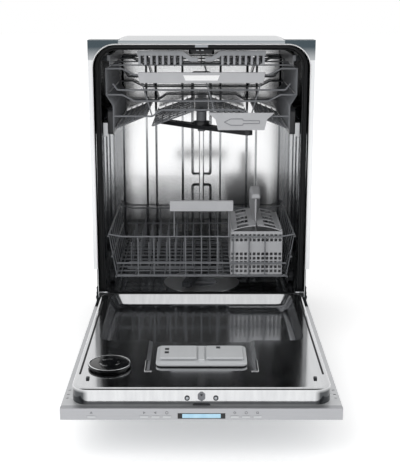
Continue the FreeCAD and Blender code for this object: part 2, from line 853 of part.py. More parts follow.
def make_spray_arm(length, bottom, turn, bore):
    outline = [(length, -arm_tip_width / 2), (length, arm_tip_width / 2), (0, arm_width / 2),
               (-length, arm_tip_width / 2), (-length, -arm_tip_width / 2), (0, -arm_width / 2)]
    blade = prism(outline, bottom, arm_thickness, "XY")
    tips = [e for e in upright_edges(blade, Vector(0, 0, 1)) if abs(e.CenterOfMass.x) > length / 2]
    blade = blade.makeFillet(arm_tip_width / 2 - 1, tips)
    jets = []
    for x in spaced(jet_pitch, length - jet_pitch / 2, jet_pitch):
        for sign in (-1, 1):
            jets.append(Part.makeCone(2 * jet_radius, jet_radius, jet_radius,
                                      Vector(sign * x, 0, bottom + arm_thickness)))
    arm = fuse([blade] + jets)
    collar = Part.makeCylinder(arm_collar_radius, arm_collar_height, Vector(0, 0, bottom + arm_thickness))
    arm = arm.fuse(collar)
    hole = Part.makeCylinder(bore, arm_thickness + arm_collar_height + 2 * cut_past,
                             Vector(0, 0, bottom - cut_past))
    arm = arm.cut(hole)
    arm.rotate(Vector(0, 0, 0), Vector(0, 0, 1), turn)
    arm.translate(Vector(0, arm_hub_back, 0))
    return [arm]


def make_lower_rack_wall(y, top, rail, ends_rise):
    run = lower_half - lower_end_run
    base = lower_base + wire_step
    rails = [mirror_outline([(lower_half, top + ends_rise), (run, top)])]
    rails.append([(-lower_base_half, rail), (lower_base_half, rail)])
    rails.append([(-lower_base_half, base), (lower_base_half, base)])
    reach = lower_front_pitch * (lower_front_count - 1) / 2
    uprights = [[(x, base), (x, top)] for x in spaced(-reach, reach, lower_front_pitch)]
    return wall_bars(rails, wire_thick, y) + wall_bars(uprights, wire_thin, y)


def make_lower_rack_side():
    front = rack_front + wire_thick + wire_gap
    back = rack_back - wire_thick - wire_gap
    top = (lower_half, lower_top)
    foot = (lower_base_half + side_foot_step, lower_base)
    middle = ((top[0] + foot[0]) / 2, (top[1] + foot[1]) / 2)
    rails = [rod((x, front, z), (x, back, z), wire_thick) for x, z in (top, middle, foot)]
    bars = [rod((foot[0], y, foot[1]), (top[0], y, top[1]), wire_thin)
            for y in spaced(front + lower_side_pitch / 2, back - lower_side_pitch / 2, lower_side_pitch)]
    return fuse(rails + bars)


def make_lower_rack_base():
    front = rack_front + wire_thick + wire_gap
    back = rack_back - wire_thick - wire_gap
    reach = lower_base_half + side_foot_step - wire_thick - wire_gap
    bars = [rod((-reach, y, lower_base), (reach, y, lower_base), wire_thick)
            for y in spaced(front + lower_base_pitch / 2, back - lower_base_pitch / 2, lower_base_pitch)]
    for x in spaced(-lower_base_half + wire_bend, lower_base_half - wire_bend, lower_base_pitch):
        bars.append(rod((x, front, lower_base + wire_step), (x, back, lower_base + wire_step), wire_thin))
    return fuse(bars)


def make_tine_row(y):
    foot = lower_base + wire_step + 2 * wire_thin + seat_gap
    bars = [rod((tine_left, y, foot), (tine_right, y, foot), wire_thin)]
    for x in spaced(tine_left + tine_pitch / 2, tine_right - tine_pitch / 2, tine_pitch):
        bars.append(rod((x, y, foot), (x, y, foot + tine_height), tine_radius))
    return fuse(bars)


def make_lower_rack_basket():
    front = make_lower_rack_wall(rack_front, lower_top, lower_rail, lower_end_rise)
    posts = [rod((x, rack_front, lower_top), (x, rack_front, lower_handle_bottom - wire_gap),
                 wire_thick - wire_ease)
             for x in (-lower_post_spread, lower_post_spread)]
    back = make_lower_rack_wall(rack_back, lower_back_top, lower_back_rail, lower_top - lower_back_top)
    side = make_lower_rack_side()
    rows = [make_tine_row(y) for y in tine_rows]
    return [fuse(front + posts), fuse(back)] + both_sides(side) + [make_lower_rack_base()] + rows


def make_lower_rack_handle():
    bar = box(-lower_handle_half, lower_handle_half, rack_front - lower_handle_depth / 2,
              rack_front + lower_handle_depth / 2, lower_handle_bottom,
              lower_handle_bottom + lower_handle_height)
    return [bar.makeFillet(lower_handle_depth / 3, upright_edges(bar, Vector(1, 0, 0)))]


def make_wheel_carriers():
    height = roll_height + seat_gap + wheel_radius
    inner = lower_base_half + side_foot_step + wire_thick + wire_gap
    solids = []
    for y in wheel_places:
        plate = box(inner, wheel_side - seat_gap, y - wheel_hub_radius, y + wheel_hub_radius,
                    height - wheel_hub_radius, lower_base + wire_thick)
        end = wheel_side + wheel_width + seat_gap
        axle = rod((inner, y, height), (end, y, height), wheel_axle_radius)
        head = rod((end, y, height), (end + wheel_axle_radius, y, height), wheel_head_radius)
        solids += both_sides(fuse([plate, axle, head]))
    return solids


def make_wheels(y):
    height = roll_height + seat_gap + wheel_radius
    wheel = rod((wheel_side, y, height), (wheel_side + wheel_width, y, height), wheel_radius)
    bore = rod((wheel_side - cut_past, y, height), (wheel_side + wheel_width + cut_past, y, height),
               wheel_axle_radius + wheel_run_gap)
    rim = [e for e in wheel.Edges if isinstance(e.Curve, Part.Circle)]
    return both_sides(wheel.makeFillet(wheel_round, rim).cut(bore))


def basket_windows(start, end, count, low, high):
    pitch = (end - start) / count
    return [(start + pitch * i + basket_bar / 2, start + pitch * (i + 1) - basket_bar / 2, low, high)
            for i in range(count)]


def basket_hinge(sign):
    x = basket_left + basket_width / 2 + sign * (basket_width / 2 - basket_lid_barrel)
    return x, basket_top + basket_lid_gap + basket_lid_barrel


def basket_ear(sign, y):
    x, z = basket_hinge(sign)
    ear = box(x - basket_lid_barrel, x + basket_lid_barrel, y, y + basket_wall, basket_top - basket_wall,
              z + basket_lid_barrel)
    return ear.cut(rod((x, y - cut_past, z), (x, y + basket_wall + cut_past, z),
                       basket_lid_pin + pin_run_gap))


def make_cutlery_basket():
    right = basket_left + basket_width
    back = basket_front + basket_length
    shell = box(basket_left, right, basket_front, back, basket_foot, basket_top)
    room = box(basket_left + basket_wall, right - basket_wall, basket_front + basket_wall, back - basket_wall,
               basket_foot + basket_wall, basket_top + cut_past)
    shell = shell.cut(room)
    cuts = []
    for low, high in basket_rows:
        for x0, x1, z0, z1 in basket_windows(basket_left + basket_bar, right - basket_bar, basket_columns,
                                             basket_foot + low, basket_foot + high):
            cuts.append(box(x0, x1, basket_front - cut_past, back + cut_past, z0, z1))
        for y0, y1, z0, z1 in basket_windows(basket_front + basket_bar, back - basket_bar,
                                             basket_side_columns,
                                             basket_foot + low, basket_foot + high):
            cuts.append(box(basket_left - cut_past, right + cut_past, y0, y1, z0, z1))
    for low in cuts:
        shell = shell.cut(low)
    middle = basket_left + basket_width / 2
    blade_low = box(middle - blade_sheet / 2, middle + blade_sheet / 2, basket_front + basket_wall,
                    back - basket_wall,
                    basket_foot + basket_wall, basket_top)
    blade = box(middle - blade_sheet / 2, middle + blade_sheet / 2, blade_front, blade_front + blade_length,
                basket_top, blade_top)
    cap = box(middle - grip_cap_width / 2, middle + grip_cap_width / 2, blade_front,
              blade_front + blade_length,
              blade_top, blade_top + grip_cap_height)
    cap = cap.makeFillet(grip_cap_height / 3, upright_edges(cap, Vector(0, 1, 0)))
    ears = [basket_ear(sign, y) for sign in (-1, 1) for y in (basket_front, back - basket_wall)]
    return [fuse([shell, blade_low] + ears), blade.fuse(cap)]


def make_cutlery_lid(sign):
    middle = basket_left + basket_width / 2
    half = basket_width / 2
    low = basket_top + basket_lid_gap
    high = low + basket_lid_rise
    radius = (half ** 2 + basket_lid_rise ** 2) / (2 * basket_lid_rise)
    centre = high - radius
    end = basket_wall + basket_lid_gap
    front = basket_front + end
    back = basket_front + basket_length - end
    outside = rod((middle, front, centre), (middle, back, centre), radius)
    inside = rod((middle, front - cut_past, centre), (middle, back + cut_past, centre), radius - basket_wall)
    hinge_x, hinge_z = basket_hinge(sign)
    inner = middle + sign * (blade_sheet / 2 + basket_lid_gap)
    lid = outside.cut(inside).common(box(min(inner, hinge_x), max(inner, hinge_x), front, back, low, high))
    rim_inner = hinge_x - sign * basket_lid_rim
    rim = box(min(rim_inner, hinge_x), max(rim_inner, hinge_x), front, back, low, low + basket_wall)
    barrel = rod((hinge_x, front, hinge_z), (hinge_x, back, hinge_z), basket_lid_barrel)
    pin = rod((hinge_x, basket_front, hinge_z), (hinge_x, basket_front + basket_length, hinge_z),
              basket_lid_pin)
    lid = fuse([lid, rim, barrel, pin])
    pitch = basket_length / basket_lid_slots
    for i in range(basket_lid_slots):
        y0 = basket_front + pitch * i + basket_bar
        x0 = middle + sign * basket_slot_inner
        x1 = middle + sign * basket_slot_outer
        lid = lid.cut(box(min(x0, x1), max(x0, x1), y0, y0 + pitch - 2 * basket_bar, low, high))
    return [lid]


def make_tray_frame():
    floor = tray_tooth_foot - wire_gap - wire_thin
    low = floor - wire_thin - wire_gap
    outer = tray_half - tray_runner_width
    side = outer - tray_web
    runner = box(outer, tray_half, rack_front, rack_back, tray_runner_bottom,
                 tray_runner_bottom + tray_runner_height)
    web = box(side, outer, rack_front, rack_back, floor - wire_thin, tray_runner_bottom + tray_runner_height)
    front = rack_front + wire_bend
    back = rack_back - wire_bend
    cross_places = spaced(front, back, tray_cross_pitch)
    wires = [rod((-side, y, floor), (side, y, floor), wire_thin) for y in cross_places]
    reach = tray_comb_half - upper_pitch
    for x in spaced(-reach, reach, tray_wire_pitch):
        wires.append(rod((x, front - wire_thin, low), (x, back, low), wire_thin - wire_ease))
    return both_sides(runner.fuse(web)) + [fuse(wires)]


def make_tray_combs():
    top = tray_bar_top
    low = top - tray_bar_height
    outline = [(tray_comb_inner, top - tray_bar_drop), (tray_flat_inner, top - tray_bar_drop),
               (tray_flat_outer, top),
               (tray_comb_half, top), (tray_comb_half, low), (tray_flat_outer + tray_tooth_set, low),
               (tray_flat_inner + tray_tooth_set, low - tray_bar_drop),
               (tray_comb_inner, low - tray_bar_drop)]
    solids = [prism(outline, tray_bar_front, tray_bar_depth, "XZ")]
    back = tray_bar_front + tray_tooth_length
    for x in spaced(tray_flat_outer + tray_tooth_width, tray_comb_half - tray_tooth_width,
                    (tray_comb_half - tray_flat_outer) / tray_teeth):
        solids.append(box(x - tray_tooth_width / 2, x + tray_tooth_width / 2,
                          tray_bar_front + tray_tooth_set, back,
                          tray_tooth_foot, low + cut_past))
    solids.append(box(tray_flat_outer, tray_comb_half, back - tray_bar_depth / 2, back + tray_tooth_set,
                      tray_tooth_foot, tray_tooth_foot + tray_bar_height))
    return both_sides(fuse(solids))


def make_hinge_brackets():
    front = flange_sheet * 2
    step = base_front - flange_sheet
    low = pivot_height - hinge_eye_radius - bracket_sheet
    shelf = tub_floor_under + flange_sheet
    outline = [(front, low), (step, low), (step, shelf), (bracket_length, shelf),
               (bracket_length, frame_foot - flange_sheet), (front, frame_foot - flange_sheet)]
    plate = prism(outline, tub_outer, bracket_sheet, "YZ")
    start = tub_outer + bracket_sheet
    end = hinge_plate_side + hinge_sheet + bracket_sheet
    pin = rod((start, pivot_back, pivot_height), (end, pivot_back, pivot_height), hinge_pin_radius)
    return both_sides(plate.fuse(pin))


def lever_end():
    angle = math.radians(hinge_lever_angle)
    return pivot_back + hinge_lever * math.cos(angle), pivot_height + hinge_lever * math.sin(angle)


def make_hinge_arms():
    low = door_bottom + door_sheet
    high = flange_height - liner_sheet - seat_gap
    side = hinge_plate_side
    foot = box(side, side + hinge_sheet, -hinge_arm_length, pivot_back + hinge_strap / 2, low, high)
    strap = box(side, side + hinge_sheet, pivot_back - hinge_strap / 3, pivot_back + hinge_strap / 3, low,
                pivot_height)
    eye = rod((side, pivot_back, pivot_height), (side + hinge_sheet, pivot_back, pivot_height),
              hinge_eye_radius)
    end_back, end_height = lever_end()
    across = Vector(0, end_height - pivot_height, pivot_back - end_back).normalize() * hinge_lever_half
    corners = [(pivot_back + across.y, pivot_height + across.z), (end_back + across.y, end_height + across.z),
               (end_back - across.y, end_height - across.z), (pivot_back - across.y, pivot_height - across.z)]
    lever = prism(corners, side, hinge_sheet, "YZ")
    tip = rod((side, end_back, end_height), (side + hinge_sheet, end_back, end_height), hinge_lever_half)
    bore = rod((side - cut_past, pivot_back, pivot_height),
               (side + hinge_sheet + cut_past, pivot_back, pivot_height),
               hinge_pin_radius + hinge_run_gap)
    return both_sides(fuse([foot, strap, eye, lever, tip]).cut(bore))


def make_door_springs():
    end_back, end_height = lever_end()
    slope = (spring_anchor_height - end_height) / (spring_anchor_back - end_back)
    hook_side = hinge_plate_side + hinge_sheet + spring_hook_gap + spring_hook_radius
    start = (spring_side, spring_start, end_height + slope * (spring_start - end_back))
    end = (spring_side, spring_end, end_height + slope * (spring_end - end_back))
    hook = rod((hook_side, end_back, end_height),
               (hook_side, spring_start + spring_radius, start[2] + slope * spring_radius),
               spring_hook_radius)
    coil = rod(start, end, spring_radius)
    tail = rod(end, (spring_side, spring_anchor_back, spring_anchor_height), spring_hook_radius)
    return both_sides(fuse([hook, coil, tail]))


def liner_block(inset, low, high):
    block = box(-liner_half + inset, liner_half - inset, liner_front + inset, -liner_tail - inset, low, high)
    middle = (liner_front - liner_tail) / 2
    front = [e for e in upright_edges(block, Vector(0, 0, 1)) if e.CenterOfMass.y < middle]
    block = block.makeFillet(liner_corner - inset, front)
    tail = [e for e in upright_edges(block, Vector(0, 0, 1)) if e.CenterOfMass.y > -liner_tail - inset - 1]
    block = block.makeFillet(recess_corner - inset, tail)
    rims = [e for e in block.Edges if e.BoundBox.ZMin > high - 0.01]
    return block.makeFillet(liner_round - inset, rims)


def sloped_pocket(half, front, tail, depth, slope, tail_slope, grow):
    top = roll_height + liner_sheet
    low = roll_height - depth - grow
    side_run = slope * (top - low) / depth
    tail_run = tail_slope * (top - low) / depth
    half = half + grow
    front = -front - grow
    tail = -tail + grow
    upper = [Vector(-half, front, top), Vector(half, front, top), Vector(half, tail, top),
             Vector(-half, tail, top)]
    lower = [Vector(-half + side_run, front + side_run, low), Vector(half - side_run, front + side_run, low),
             Vector(half - side_run, tail - tail_run, low), Vector(-half + side_run, tail - tail_run, low)]
    outlines = [Part.makePolygon(corners + corners[:1]) for corners in (upper, lower)]
    return Part.makeLoft(outlines, True, True)


def liner_pockets(grow):
    recess = sloped_pocket(recess_half, recess_front, recess_tail, recess_depth, recess_slope,
                           recess_tail_slope, grow)
    bay = sloped_pocket(bay_half, bay_front, recess_front - bay_run_in, bay_depth, bay_slope, 0, grow)
    return recess.fuse(bay)


def make_door_liner():
    low = flange_height - liner_sheet
    outside = liner_block(0, low, roll_height)
    inside = liner_block(liner_sheet, low, roll_height - liner_sheet)
    shell = outside.cut(inside.cut(liner_pockets(liner_sheet))).cut(liner_pockets(0))
    plate = box(-half_width, half_width, -door_reach + panel_depth, -liner_tail, low, flange_height)
    liner = shell.fuse(plate.cut(liner_block(liner_sheet, low - cut_past, roll_height)))
    half = dispenser_width / 2 - lid_inset + seat_gap
    front = -dispenser_back - dispenser_length + lid_inset - seat_gap
    back = -dispenser_back - lid_inset + seat_gap
    hatch = box(-half, half, front, back, roll_height - bay_depth - liner_sheet - cut_past, roll_height)
    vent = Part.makeCylinder(vent_neck_radius + seat_gap, liner_sheet + 2 * cut_past,
                             Vector(vent_side, -vent_front, roll_height - liner_sheet - cut_past))
    latch_middle = (flange_height + roll_height) / 2
    latch = box(-latch_width / 2 - seat_gap, latch_width / 2 + seat_gap, liner_front - cut_past,
                liner_front + liner_sheet + cut_past,
                latch_middle - latch_height / 2 - seat_gap, latch_middle + latch_height / 2 + seat_gap)
    return [liner.cut(fuse([hatch, vent, latch]))]


def make_door_outer_panel():
    top = flange_height - liner_sheet
    front = -door_reach + panel_depth
    tray = box(-half_width, half_width, front, door_heel, door_bottom, top)
    room = box(-half_width + door_sheet, half_width - door_sheet, front + door_sheet, door_heel - door_sheet,
               door_bottom + door_sheet, top + cut_past)
    tray = tray.cut(room)
    for x in (-panel_hole_spread, panel_hole_spread):
        for y in panel_hole_backs:
            tray = tray.cut(Part.makeCylinder(panel_hole_radius, door_sheet + 2 * cut_past,
                                              Vector(x, -y, door_bottom - cut_past)))
    return [tray]


def make_control_panel():
    front = -door_reach
    back = front + panel_depth
    strip = box(-half_width, half_width, front, back, door_bottom, flange_height)
    room = box(-half_width + panel_wall, half_width - panel_wall, front + panel_wall, back + cut_past,
               door_bottom + panel_wall, flange_height - panel_wall)
    strip = strip.cut(room)
    for x in button_places:
        half = button_length / 2 + button_gap
        z = flange_height - button_drop
        strip = strip.cut(box(x - half, x + half, front - cut_past, front + panel_wall + cut_past,
                              z - button_height / 2 - button_gap, z + button_height / 2 + button_gap))
    half = display_length / 2 + button_gap
    z = flange_height - display_drop
    return [strip.cut(box(-half, half, front - cut_past, front + panel_wall + cut_past,
                          z - display_height / 2 - button_gap,
                          z + display_height / 2 + button_gap))]


def make_button(x):
    z = flange_height - button_drop
    front = -door_reach - button_proud
    return [box(x - button_length / 2, x + button_length / 2, front, front + button_depth,
                z - button_height / 2, z + button_height / 2)]


def make_display_window():
    z = flange_height - display_drop
    return [box(-display_length / 2, display_length / 2, -door_reach, -door_reach + display_depth,
                z - display_height / 2, z + display_height / 2)]


def make_door_latch():
    middle = (flange_height + roll_height) / 2
    body = box(-latch_width / 2, latch_width / 2, liner_front - latch_proud, liner_front + latch_depth,
               middle - latch_height / 2, middle + latch_height / 2)
    throat = box(-latch_width / 6, latch_width / 6, liner_front - latch_proud - cut_past,
                 liner_front + latch_depth / 2,
                 middle, middle + latch_height / 3)
    return [body.cut(throat)]


def lid_hinge():
    return -dispenser_back - lid_inset - lid_sheet / 2, roll_height + dispenser_rim + lid_gap + lid_sheet / 2


def lid_ear_places():
    inner = lid_split / 2 - lid_gap - lid_ear_sheet
    outer = lid_split / 2 + lid_width + lid_gap
    return inner, outer, -inner - lid_ear_sheet, -outer - lid_ear_sheet


def make_dispenser_body():
    half = dispenser_width / 2
    front = -dispenser_back - dispenser_length
    rim = rounded_plate(-half, half, front, -dispenser_back, roll_height - bay_depth,
                        roll_height + dispenser_rim, dispenser_corner)
    block = box(-half + lid_inset, half - lid_inset, front + lid_inset, -dispenser_back - lid_inset,
                roll_height - dispenser_sunk, roll_height)
    top = roll_height + dispenser_rim
    middle_x = (lid_split + lid_width) / 2
    middle_y = -dispenser_back - lid_inset - lid_length / 2
    well = rounded_plate(-middle_x - well_width / 2, -middle_x + well_width / 2, middle_y - well_length / 2,
                         middle_y + well_length / 2, top - well_depth, top + cut_past, well_corner)
    filler = Part.makeCylinder(filler_radius, filler_depth + cut_past,
                               Vector(middle_x, middle_y, top - filler_depth))
    body = rim.fuse(block).cut(well).cut(filler)
    y, z = lid_hinge()
    for x in lid_ear_places():
        ear = box(x, x + lid_ear_sheet, y - lid_ear_half, y + lid_ear_half, roll_height, z + lid_ear_half)
        body = body.fuse(ear.cut(rod((x - cut_past, y, z), (x + lid_ear_sheet + cut_past, y, z),
                                     lid_pin + pin_run_gap)))
    return [body]


def make_dispenser_lid(sign):
    inner = lid_split / 2
    x0 = inner if sign > 0 else -inner - lid_width
    y, z = lid_hinge()
    front = -dispenser_back - lid_inset - lid_length
    low = z - lid_sheet / 2
    high = z + lid_sheet / 2
    lid = box(x0, x0 + lid_width, front, y, low, high)
    lip = box(x0, x0 + lid_width, front, front + lid_lip, high, high + lid_lip / 2)
    barrel = rod((x0, y, z), (x0 + lid_width, y, z), lid_sheet / 2)
    reach = lid_gap + lid_ear_sheet
    pin = rod((x0 - reach, y, z), (x0 + lid_width + reach, y, z), lid_pin)
    return [fuse([lid, lip, barrel, pin])]


def make_vent_cover():
    low = roll_height - vent_neck_height
    neck = Part.makeCylinder(vent_neck_radius, 2 * vent_neck_height, Vector(vent_side, -vent_front, low))
    cap = Part.makeCylinder(vent_radius, vent_cap_height,
                            Vector(vent_side, -vent_front, roll_height + vent_neck_height))
    rim = [e for e in cap.Edges if isinstance(e.Curve, Part.Circle)]
    return [neck.fuse(cap.makeFillet(vent_cap_height / 3, rim))]


os.makedirs("parts", exist_ok=True)
save("tub_wrap", make_tub_wrap())
save("front_flange", make_front_flange())
save("tub_back", make_tub_back())
save("tub_floor", make_tub_floor())
save("corner_plates", make_corner_plates())
save("latch_strike", make_latch_strike())
save("ceiling_lamp", make_ceiling_lamp())
save("door_gasket", make_door_gasket())
save("base_frame", make_base_frame())
for foot_name, (foot_x, foot_y) in zip(("front_left", "front_right", "rear"), foot_places()):
    save("foot_" + foot_name, make_foot(foot_x, foot_y))
save("sump", make_sump())
save("filter_plate", make_filter_plate())
save("filter_cup", make_filter_cup())
save("circulation_pump", make_circulation_pump())
save("drain_pump", make_drain_pump())
save("inlet_valve", make_inlet_valve())
save("air_break_tank", make_air_break_tank())
save("insulation_mats", make_insulation_mats())
save("feed_riser", make_feed_riser())
save("rack_rails", make_rack_rails())
save("rail_middle", make_rail_middle())
save("hinge_brackets", make_hinge_brackets())
save("door_springs", make_door_springs())
save("tray_frame", make_tray_frame())
save("tray_combs", make_tray_combs())
save("upper_rack_basket", make_upper_rack_basket())
save("upper_rack_side_plates", make_side_plates())
save("upper_rack_runners", make_runners())
save("upper_rack_handle", make_upper_rack_handle())
save("knife_holder", make_knife_holder())
save("upper_arm_duct", make_upper_arm_duct())
save("upper_spray_arm", make_spray_arm(upper_arm_length, upper_arm_height, upper_arm_turn,
                                       spindle_radius + spindle_gap))
save("lower_spray_arm", make_spray_arm(lower_arm_length, lower_arm_bottom, lower_arm_turn,
                                       lower_spindle_radius + spindle_gap))
save("lower_rack_basket", make_lower_rack_basket())
save("lower_rack_handle", make_lower_rack_handle())
save("wheel_carriers", make_wheel_carriers())
for wheel_name, wheel_y in zip(("front_wheels", "rear_wheels"), wheel_places):
    save(wheel_name, make_wheels(wheel_y))
save("cutlery_basket", make_cutlery_basket())
save("cutlery_lid_left", make_cutlery_lid(-1))
save("cutlery_lid_right", make_cutlery_lid(1))
save("door_outer_panel", make_door_outer_panel())
save("door_liner", make_door_liner())
save("hinge_arms", make_hinge_arms())
save("control_panel", make_control_panel())
save("display_window", make_display_window())
for number, button_x in enumerate(button_places, start=1):
    save("button_" + str(number), make_button(button_x))
save("door_latch", make_door_latch())
save("dispenser_body", make_dispenser_body())
save("detergent_lid", make_dispenser_lid(-1))
save("rinse_aid_lid", make_dispenser_lid(1))
save("vent_cover", make_vent_cover())
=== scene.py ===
import math

import bmesh
import bpy
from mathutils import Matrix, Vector


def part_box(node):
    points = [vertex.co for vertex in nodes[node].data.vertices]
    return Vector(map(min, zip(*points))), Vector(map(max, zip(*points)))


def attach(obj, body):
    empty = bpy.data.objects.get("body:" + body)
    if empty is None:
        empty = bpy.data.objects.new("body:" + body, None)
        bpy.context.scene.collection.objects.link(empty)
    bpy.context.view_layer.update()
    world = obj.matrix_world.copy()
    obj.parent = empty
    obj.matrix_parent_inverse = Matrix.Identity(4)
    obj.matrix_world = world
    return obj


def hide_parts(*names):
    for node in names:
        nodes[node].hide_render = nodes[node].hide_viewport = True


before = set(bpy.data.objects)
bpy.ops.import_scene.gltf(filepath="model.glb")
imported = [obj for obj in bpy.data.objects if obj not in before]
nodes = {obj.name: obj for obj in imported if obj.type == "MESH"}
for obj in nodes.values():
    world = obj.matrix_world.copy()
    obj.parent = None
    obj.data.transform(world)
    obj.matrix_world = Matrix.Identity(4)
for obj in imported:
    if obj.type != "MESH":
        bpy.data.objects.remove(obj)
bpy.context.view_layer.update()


# Base tray, feet and pumps: injection-moulded polypropylene. The tray carries the tub,
# three feet screw up into it, and the sump, pumps and valve are clipped inside it.
BASE_DARK = "#26272A"
BASE_LIGHT = "#34363A"
BASE_CLOUD = 0.05
BASE_GRIT = 0.0015


def linear(hex_colour):
    """Turn an sRGB hex colour into the linear colour that a shader takes."""
    channels = [int(hex_colour[i:i + 2], 16) / 255 for i in (1, 3, 5)]
    return tuple(c / 12.92 if c <= 0.04045 else ((c + 0.055) / 1.055) ** 2.4 for c in channels) + (1.0,)


def set_sockets(tree, node, sockets):
    """Set a node's inputs, or link them where an output is given."""
    for name, value in sockets.items():
        if isinstance(value, bpy.types.NodeSocket):
            tree.links.new(value, node.inputs[name])
        else:
            node.inputs[name].default_value = value


def add_node(tree, kind, sockets, **settings):
    """Add a shader node with its settings and its inputs."""
    node = tree.nodes.new(kind)
    for name, value in settings.items():
        setattr(node, name, value)
    set_sockets(tree, node, sockets)
    return node


def new_material(name):
    """Make a node material and return it with its tree, its main shader and its Object coordinates."""
    material = bpy.data.materials.new(name)
    material.use_nodes = True
    tree = material.node_tree
    place = add_node(tree, "ShaderNodeTexCoord", {}).outputs["Object"]
    return material, tree, tree.nodes["Principled BSDF"], place


def moulded_plastic(name, dark, light, cloud, grit, gloss_low, gloss_high):
    """A moulded plastic: a slow change of shade, an uneven gloss and a fine mould grain."""
    material, tree, shader, place = new_material(name)
    shade = add_node(tree, "ShaderNodeTexNoise", {"Vector": place, "Scale": 1 / cloud, "Detail": 4.0})
    tint = add_node(tree, "ShaderNodeMix", {0: shade.outputs["Fac"], 6: linear(dark), 7: linear(light)},
                    data_type="RGBA")
    gloss = add_node(tree, "ShaderNodeMapRange", {"Value": shade.outputs["Fac"], "To Min": gloss_low,
                                                  "To Max": gloss_high})
    grain = add_node(tree, "ShaderNodeTexNoise", {"Vector": place, "Scale": 1 / grit, "Detail": 2.0})
    bump = add_node(tree, "ShaderNodeBump", {"Height": grain.outputs["Fac"], "Strength": 0.15,
                                             "Distance": 0.0004})
    set_sockets(tree, shader, {"Base Color": tint.outputs[2], "Roughness": gloss.outputs["Result"],
                               "Normal": bump.outputs["Normal"], "IOR": 1.49})
    return material


def dress(material, *names):
    """Give CAD nodes a finished material."""
    for name in names:
        for slot in nodes[name].material_slots:
            slot.material = material


# Black polypropylene: near black, half-dull, with a fine leathery mould grain.
black_plastic = moulded_plastic("black moulded polypropylene", BASE_DARK, BASE_LIGHT, BASE_CLOUD, BASE_GRIT,
                                0.36, 0.52)
dress(black_plastic, "base_frame", "foot_front_left", "foot_front_right", "foot_rear", "circulation_pump",
      "drain_pump", "inlet_valve", "sump")


# Tub wrap: one strip of stainless sheet bent over the sides and the top of the tub and
# welded to the back and the floor. It is rolled bright, so it mirrors what stands before it.
TUB_DARK = "#B4B6B8"
TUB_LIGHT = "#E4E5E6"
TUB_SHADE = "#36383A"
TUB_SHADED = (0.58, 0.68)
TUB_BEND_SIDE, TUB_BEND_HEIGHT = 0.226, 0.788
TUB_INNER_REACH, TUB_OUTER_REACH = 0.0603, 0.0607
TUB_GRAIN = (0.006, 0.006, 0.30)
TUB_WAVE = 0.35
BEAD_WIDTH = 0.014
BEAD_RISE = 0.0028
BEAD_LOW, BEAD_HIGH = 0.20, 0.585
BEAD_PLACES = (0.17, 0.235, 0.30, 0.40, 0.50)
BEAD_CROWN = (1, 0.45, 0.985)
TUB_SHEET = 0.0012
SIDES = ((-1, "left"), (1, "right"))


def rolled_metal(name, dark, light, grain, gloss_low, gloss_high, wave, wave_height):
    """A rolled metal: streaks of shade and gloss that run one way, on a slowly waving sheet."""
    material, tree, shader, place = new_material(name)
    along = add_node(tree, "ShaderNodeMapping", {"Vector": place, "Scale": tuple(1 / size for size in grain)})
    streak = add_node(tree, "ShaderNodeTexNoise", {"Vector": along.outputs["Vector"], "Scale": 1.0,
                                                   "Detail": 3.0})
    tint = add_node(tree, "ShaderNodeMix", {0: streak.outputs["Fac"], 6: linear(dark), 7: linear(light)},
                    data_type="RGBA")
    gloss = add_node(tree, "ShaderNodeMapRange", {"Value": streak.outputs["Fac"], "To Min": gloss_low,
                                                  "To Max": gloss_high})
    swell = add_node(tree, "ShaderNodeTexNoise", {"Vector": place, "Scale": 1 / wave, "Detail": 1.0})
    bump = add_node(tree, "ShaderNodeBump", {"Height": swell.outputs["Fac"], "Strength": 0.1,
                                             "Distance": wave_height})
    set_sockets(tree, shader, {"Base Color": tint.outputs[2], "Metallic": 1.0, "Normal": bump.outputs["Normal"],
                               "Roughness": gloss.outputs["Result"]})
    return material


def shade_towards(material, tone, *limits, within=None):
    """Paint shade into a metal's colour where each named axis runs from its first place to its second."""
    tree = material.node_tree
    shader = tree.nodes["Principled BSDF"]
    spot = next(node for node in tree.nodes if node.type == "TEX_COORD")
    axes = add_node(tree, "ShaderNodeSeparateXYZ", {"Vector": spot.outputs["Object"]})
    for axis, low, high in limits:
        run = add_node(tree, "ShaderNodeMapRange",
                       {"Value": axes.outputs[axis], "From Min": low, "From Max": high}).outputs["Result"]
        if within is not None:
            run = add_node(tree, "ShaderNodeMath", {0: within, 1: run}, operation="MULTIPLY").outputs["Value"]
        within = run
    base = shader.inputs["Base Color"].links[0].from_socket
    fade = add_node(tree, "ShaderNodeMix", {0: within, 6: base, 7: linear(tone)}, data_type="RGBA")
    set_sockets(tree, shader, {"Base Color": fade.outputs[2]})


# Bright-rolled stainless: a mirror softened by fine upright grain and a slow wave in the
# sheet. The real grain is under 0.1 mm and is drawn coarse enough to show.
tub_steel = rolled_metal("bright rolled stainless steel", TUB_DARK, TUB_LIGHT, TUB_GRAIN, 0.05, 0.14,
                         TUB_WAVE, 0.0012)

# Its upper part inside is painted dark, a painted reflection of the unlit room that it mirrors there. The
# distance from the wrap's bends keeps the painted shade off its outside, and the painted shade also holds at
# low angles.
tree = tub_steel.node_tree
spot = next(node for node in tree.nodes if node.type == "TEX_COORD")
half = add_node(tree, "ShaderNodeVectorMath", {0: spot.outputs["Object"]}, operation="ABSOLUTE")
from_bend = add_node(tree, "ShaderNodeMapping", {"Vector": half.outputs["Vector"], "Scale": (1, 0, 1),
                                                 "Location": (-TUB_BEND_SIDE, 0, -TUB_BEND_HEIGHT)})
outward = add_node(tree, "ShaderNodeVectorMath", {0: from_bend.outputs["Vector"], 1: (0, 0, 0)},
                   operation="MAXIMUM")
reach = add_node(tree, "ShaderNodeVectorMath", {0: outward.outputs["Vector"]}, operation="LENGTH")
inside = add_node(tree, "ShaderNodeMapRange", {"Value": reach.outputs["Value"], "From Min": TUB_OUTER_REACH,
                                               "From Max": TUB_INNER_REACH})
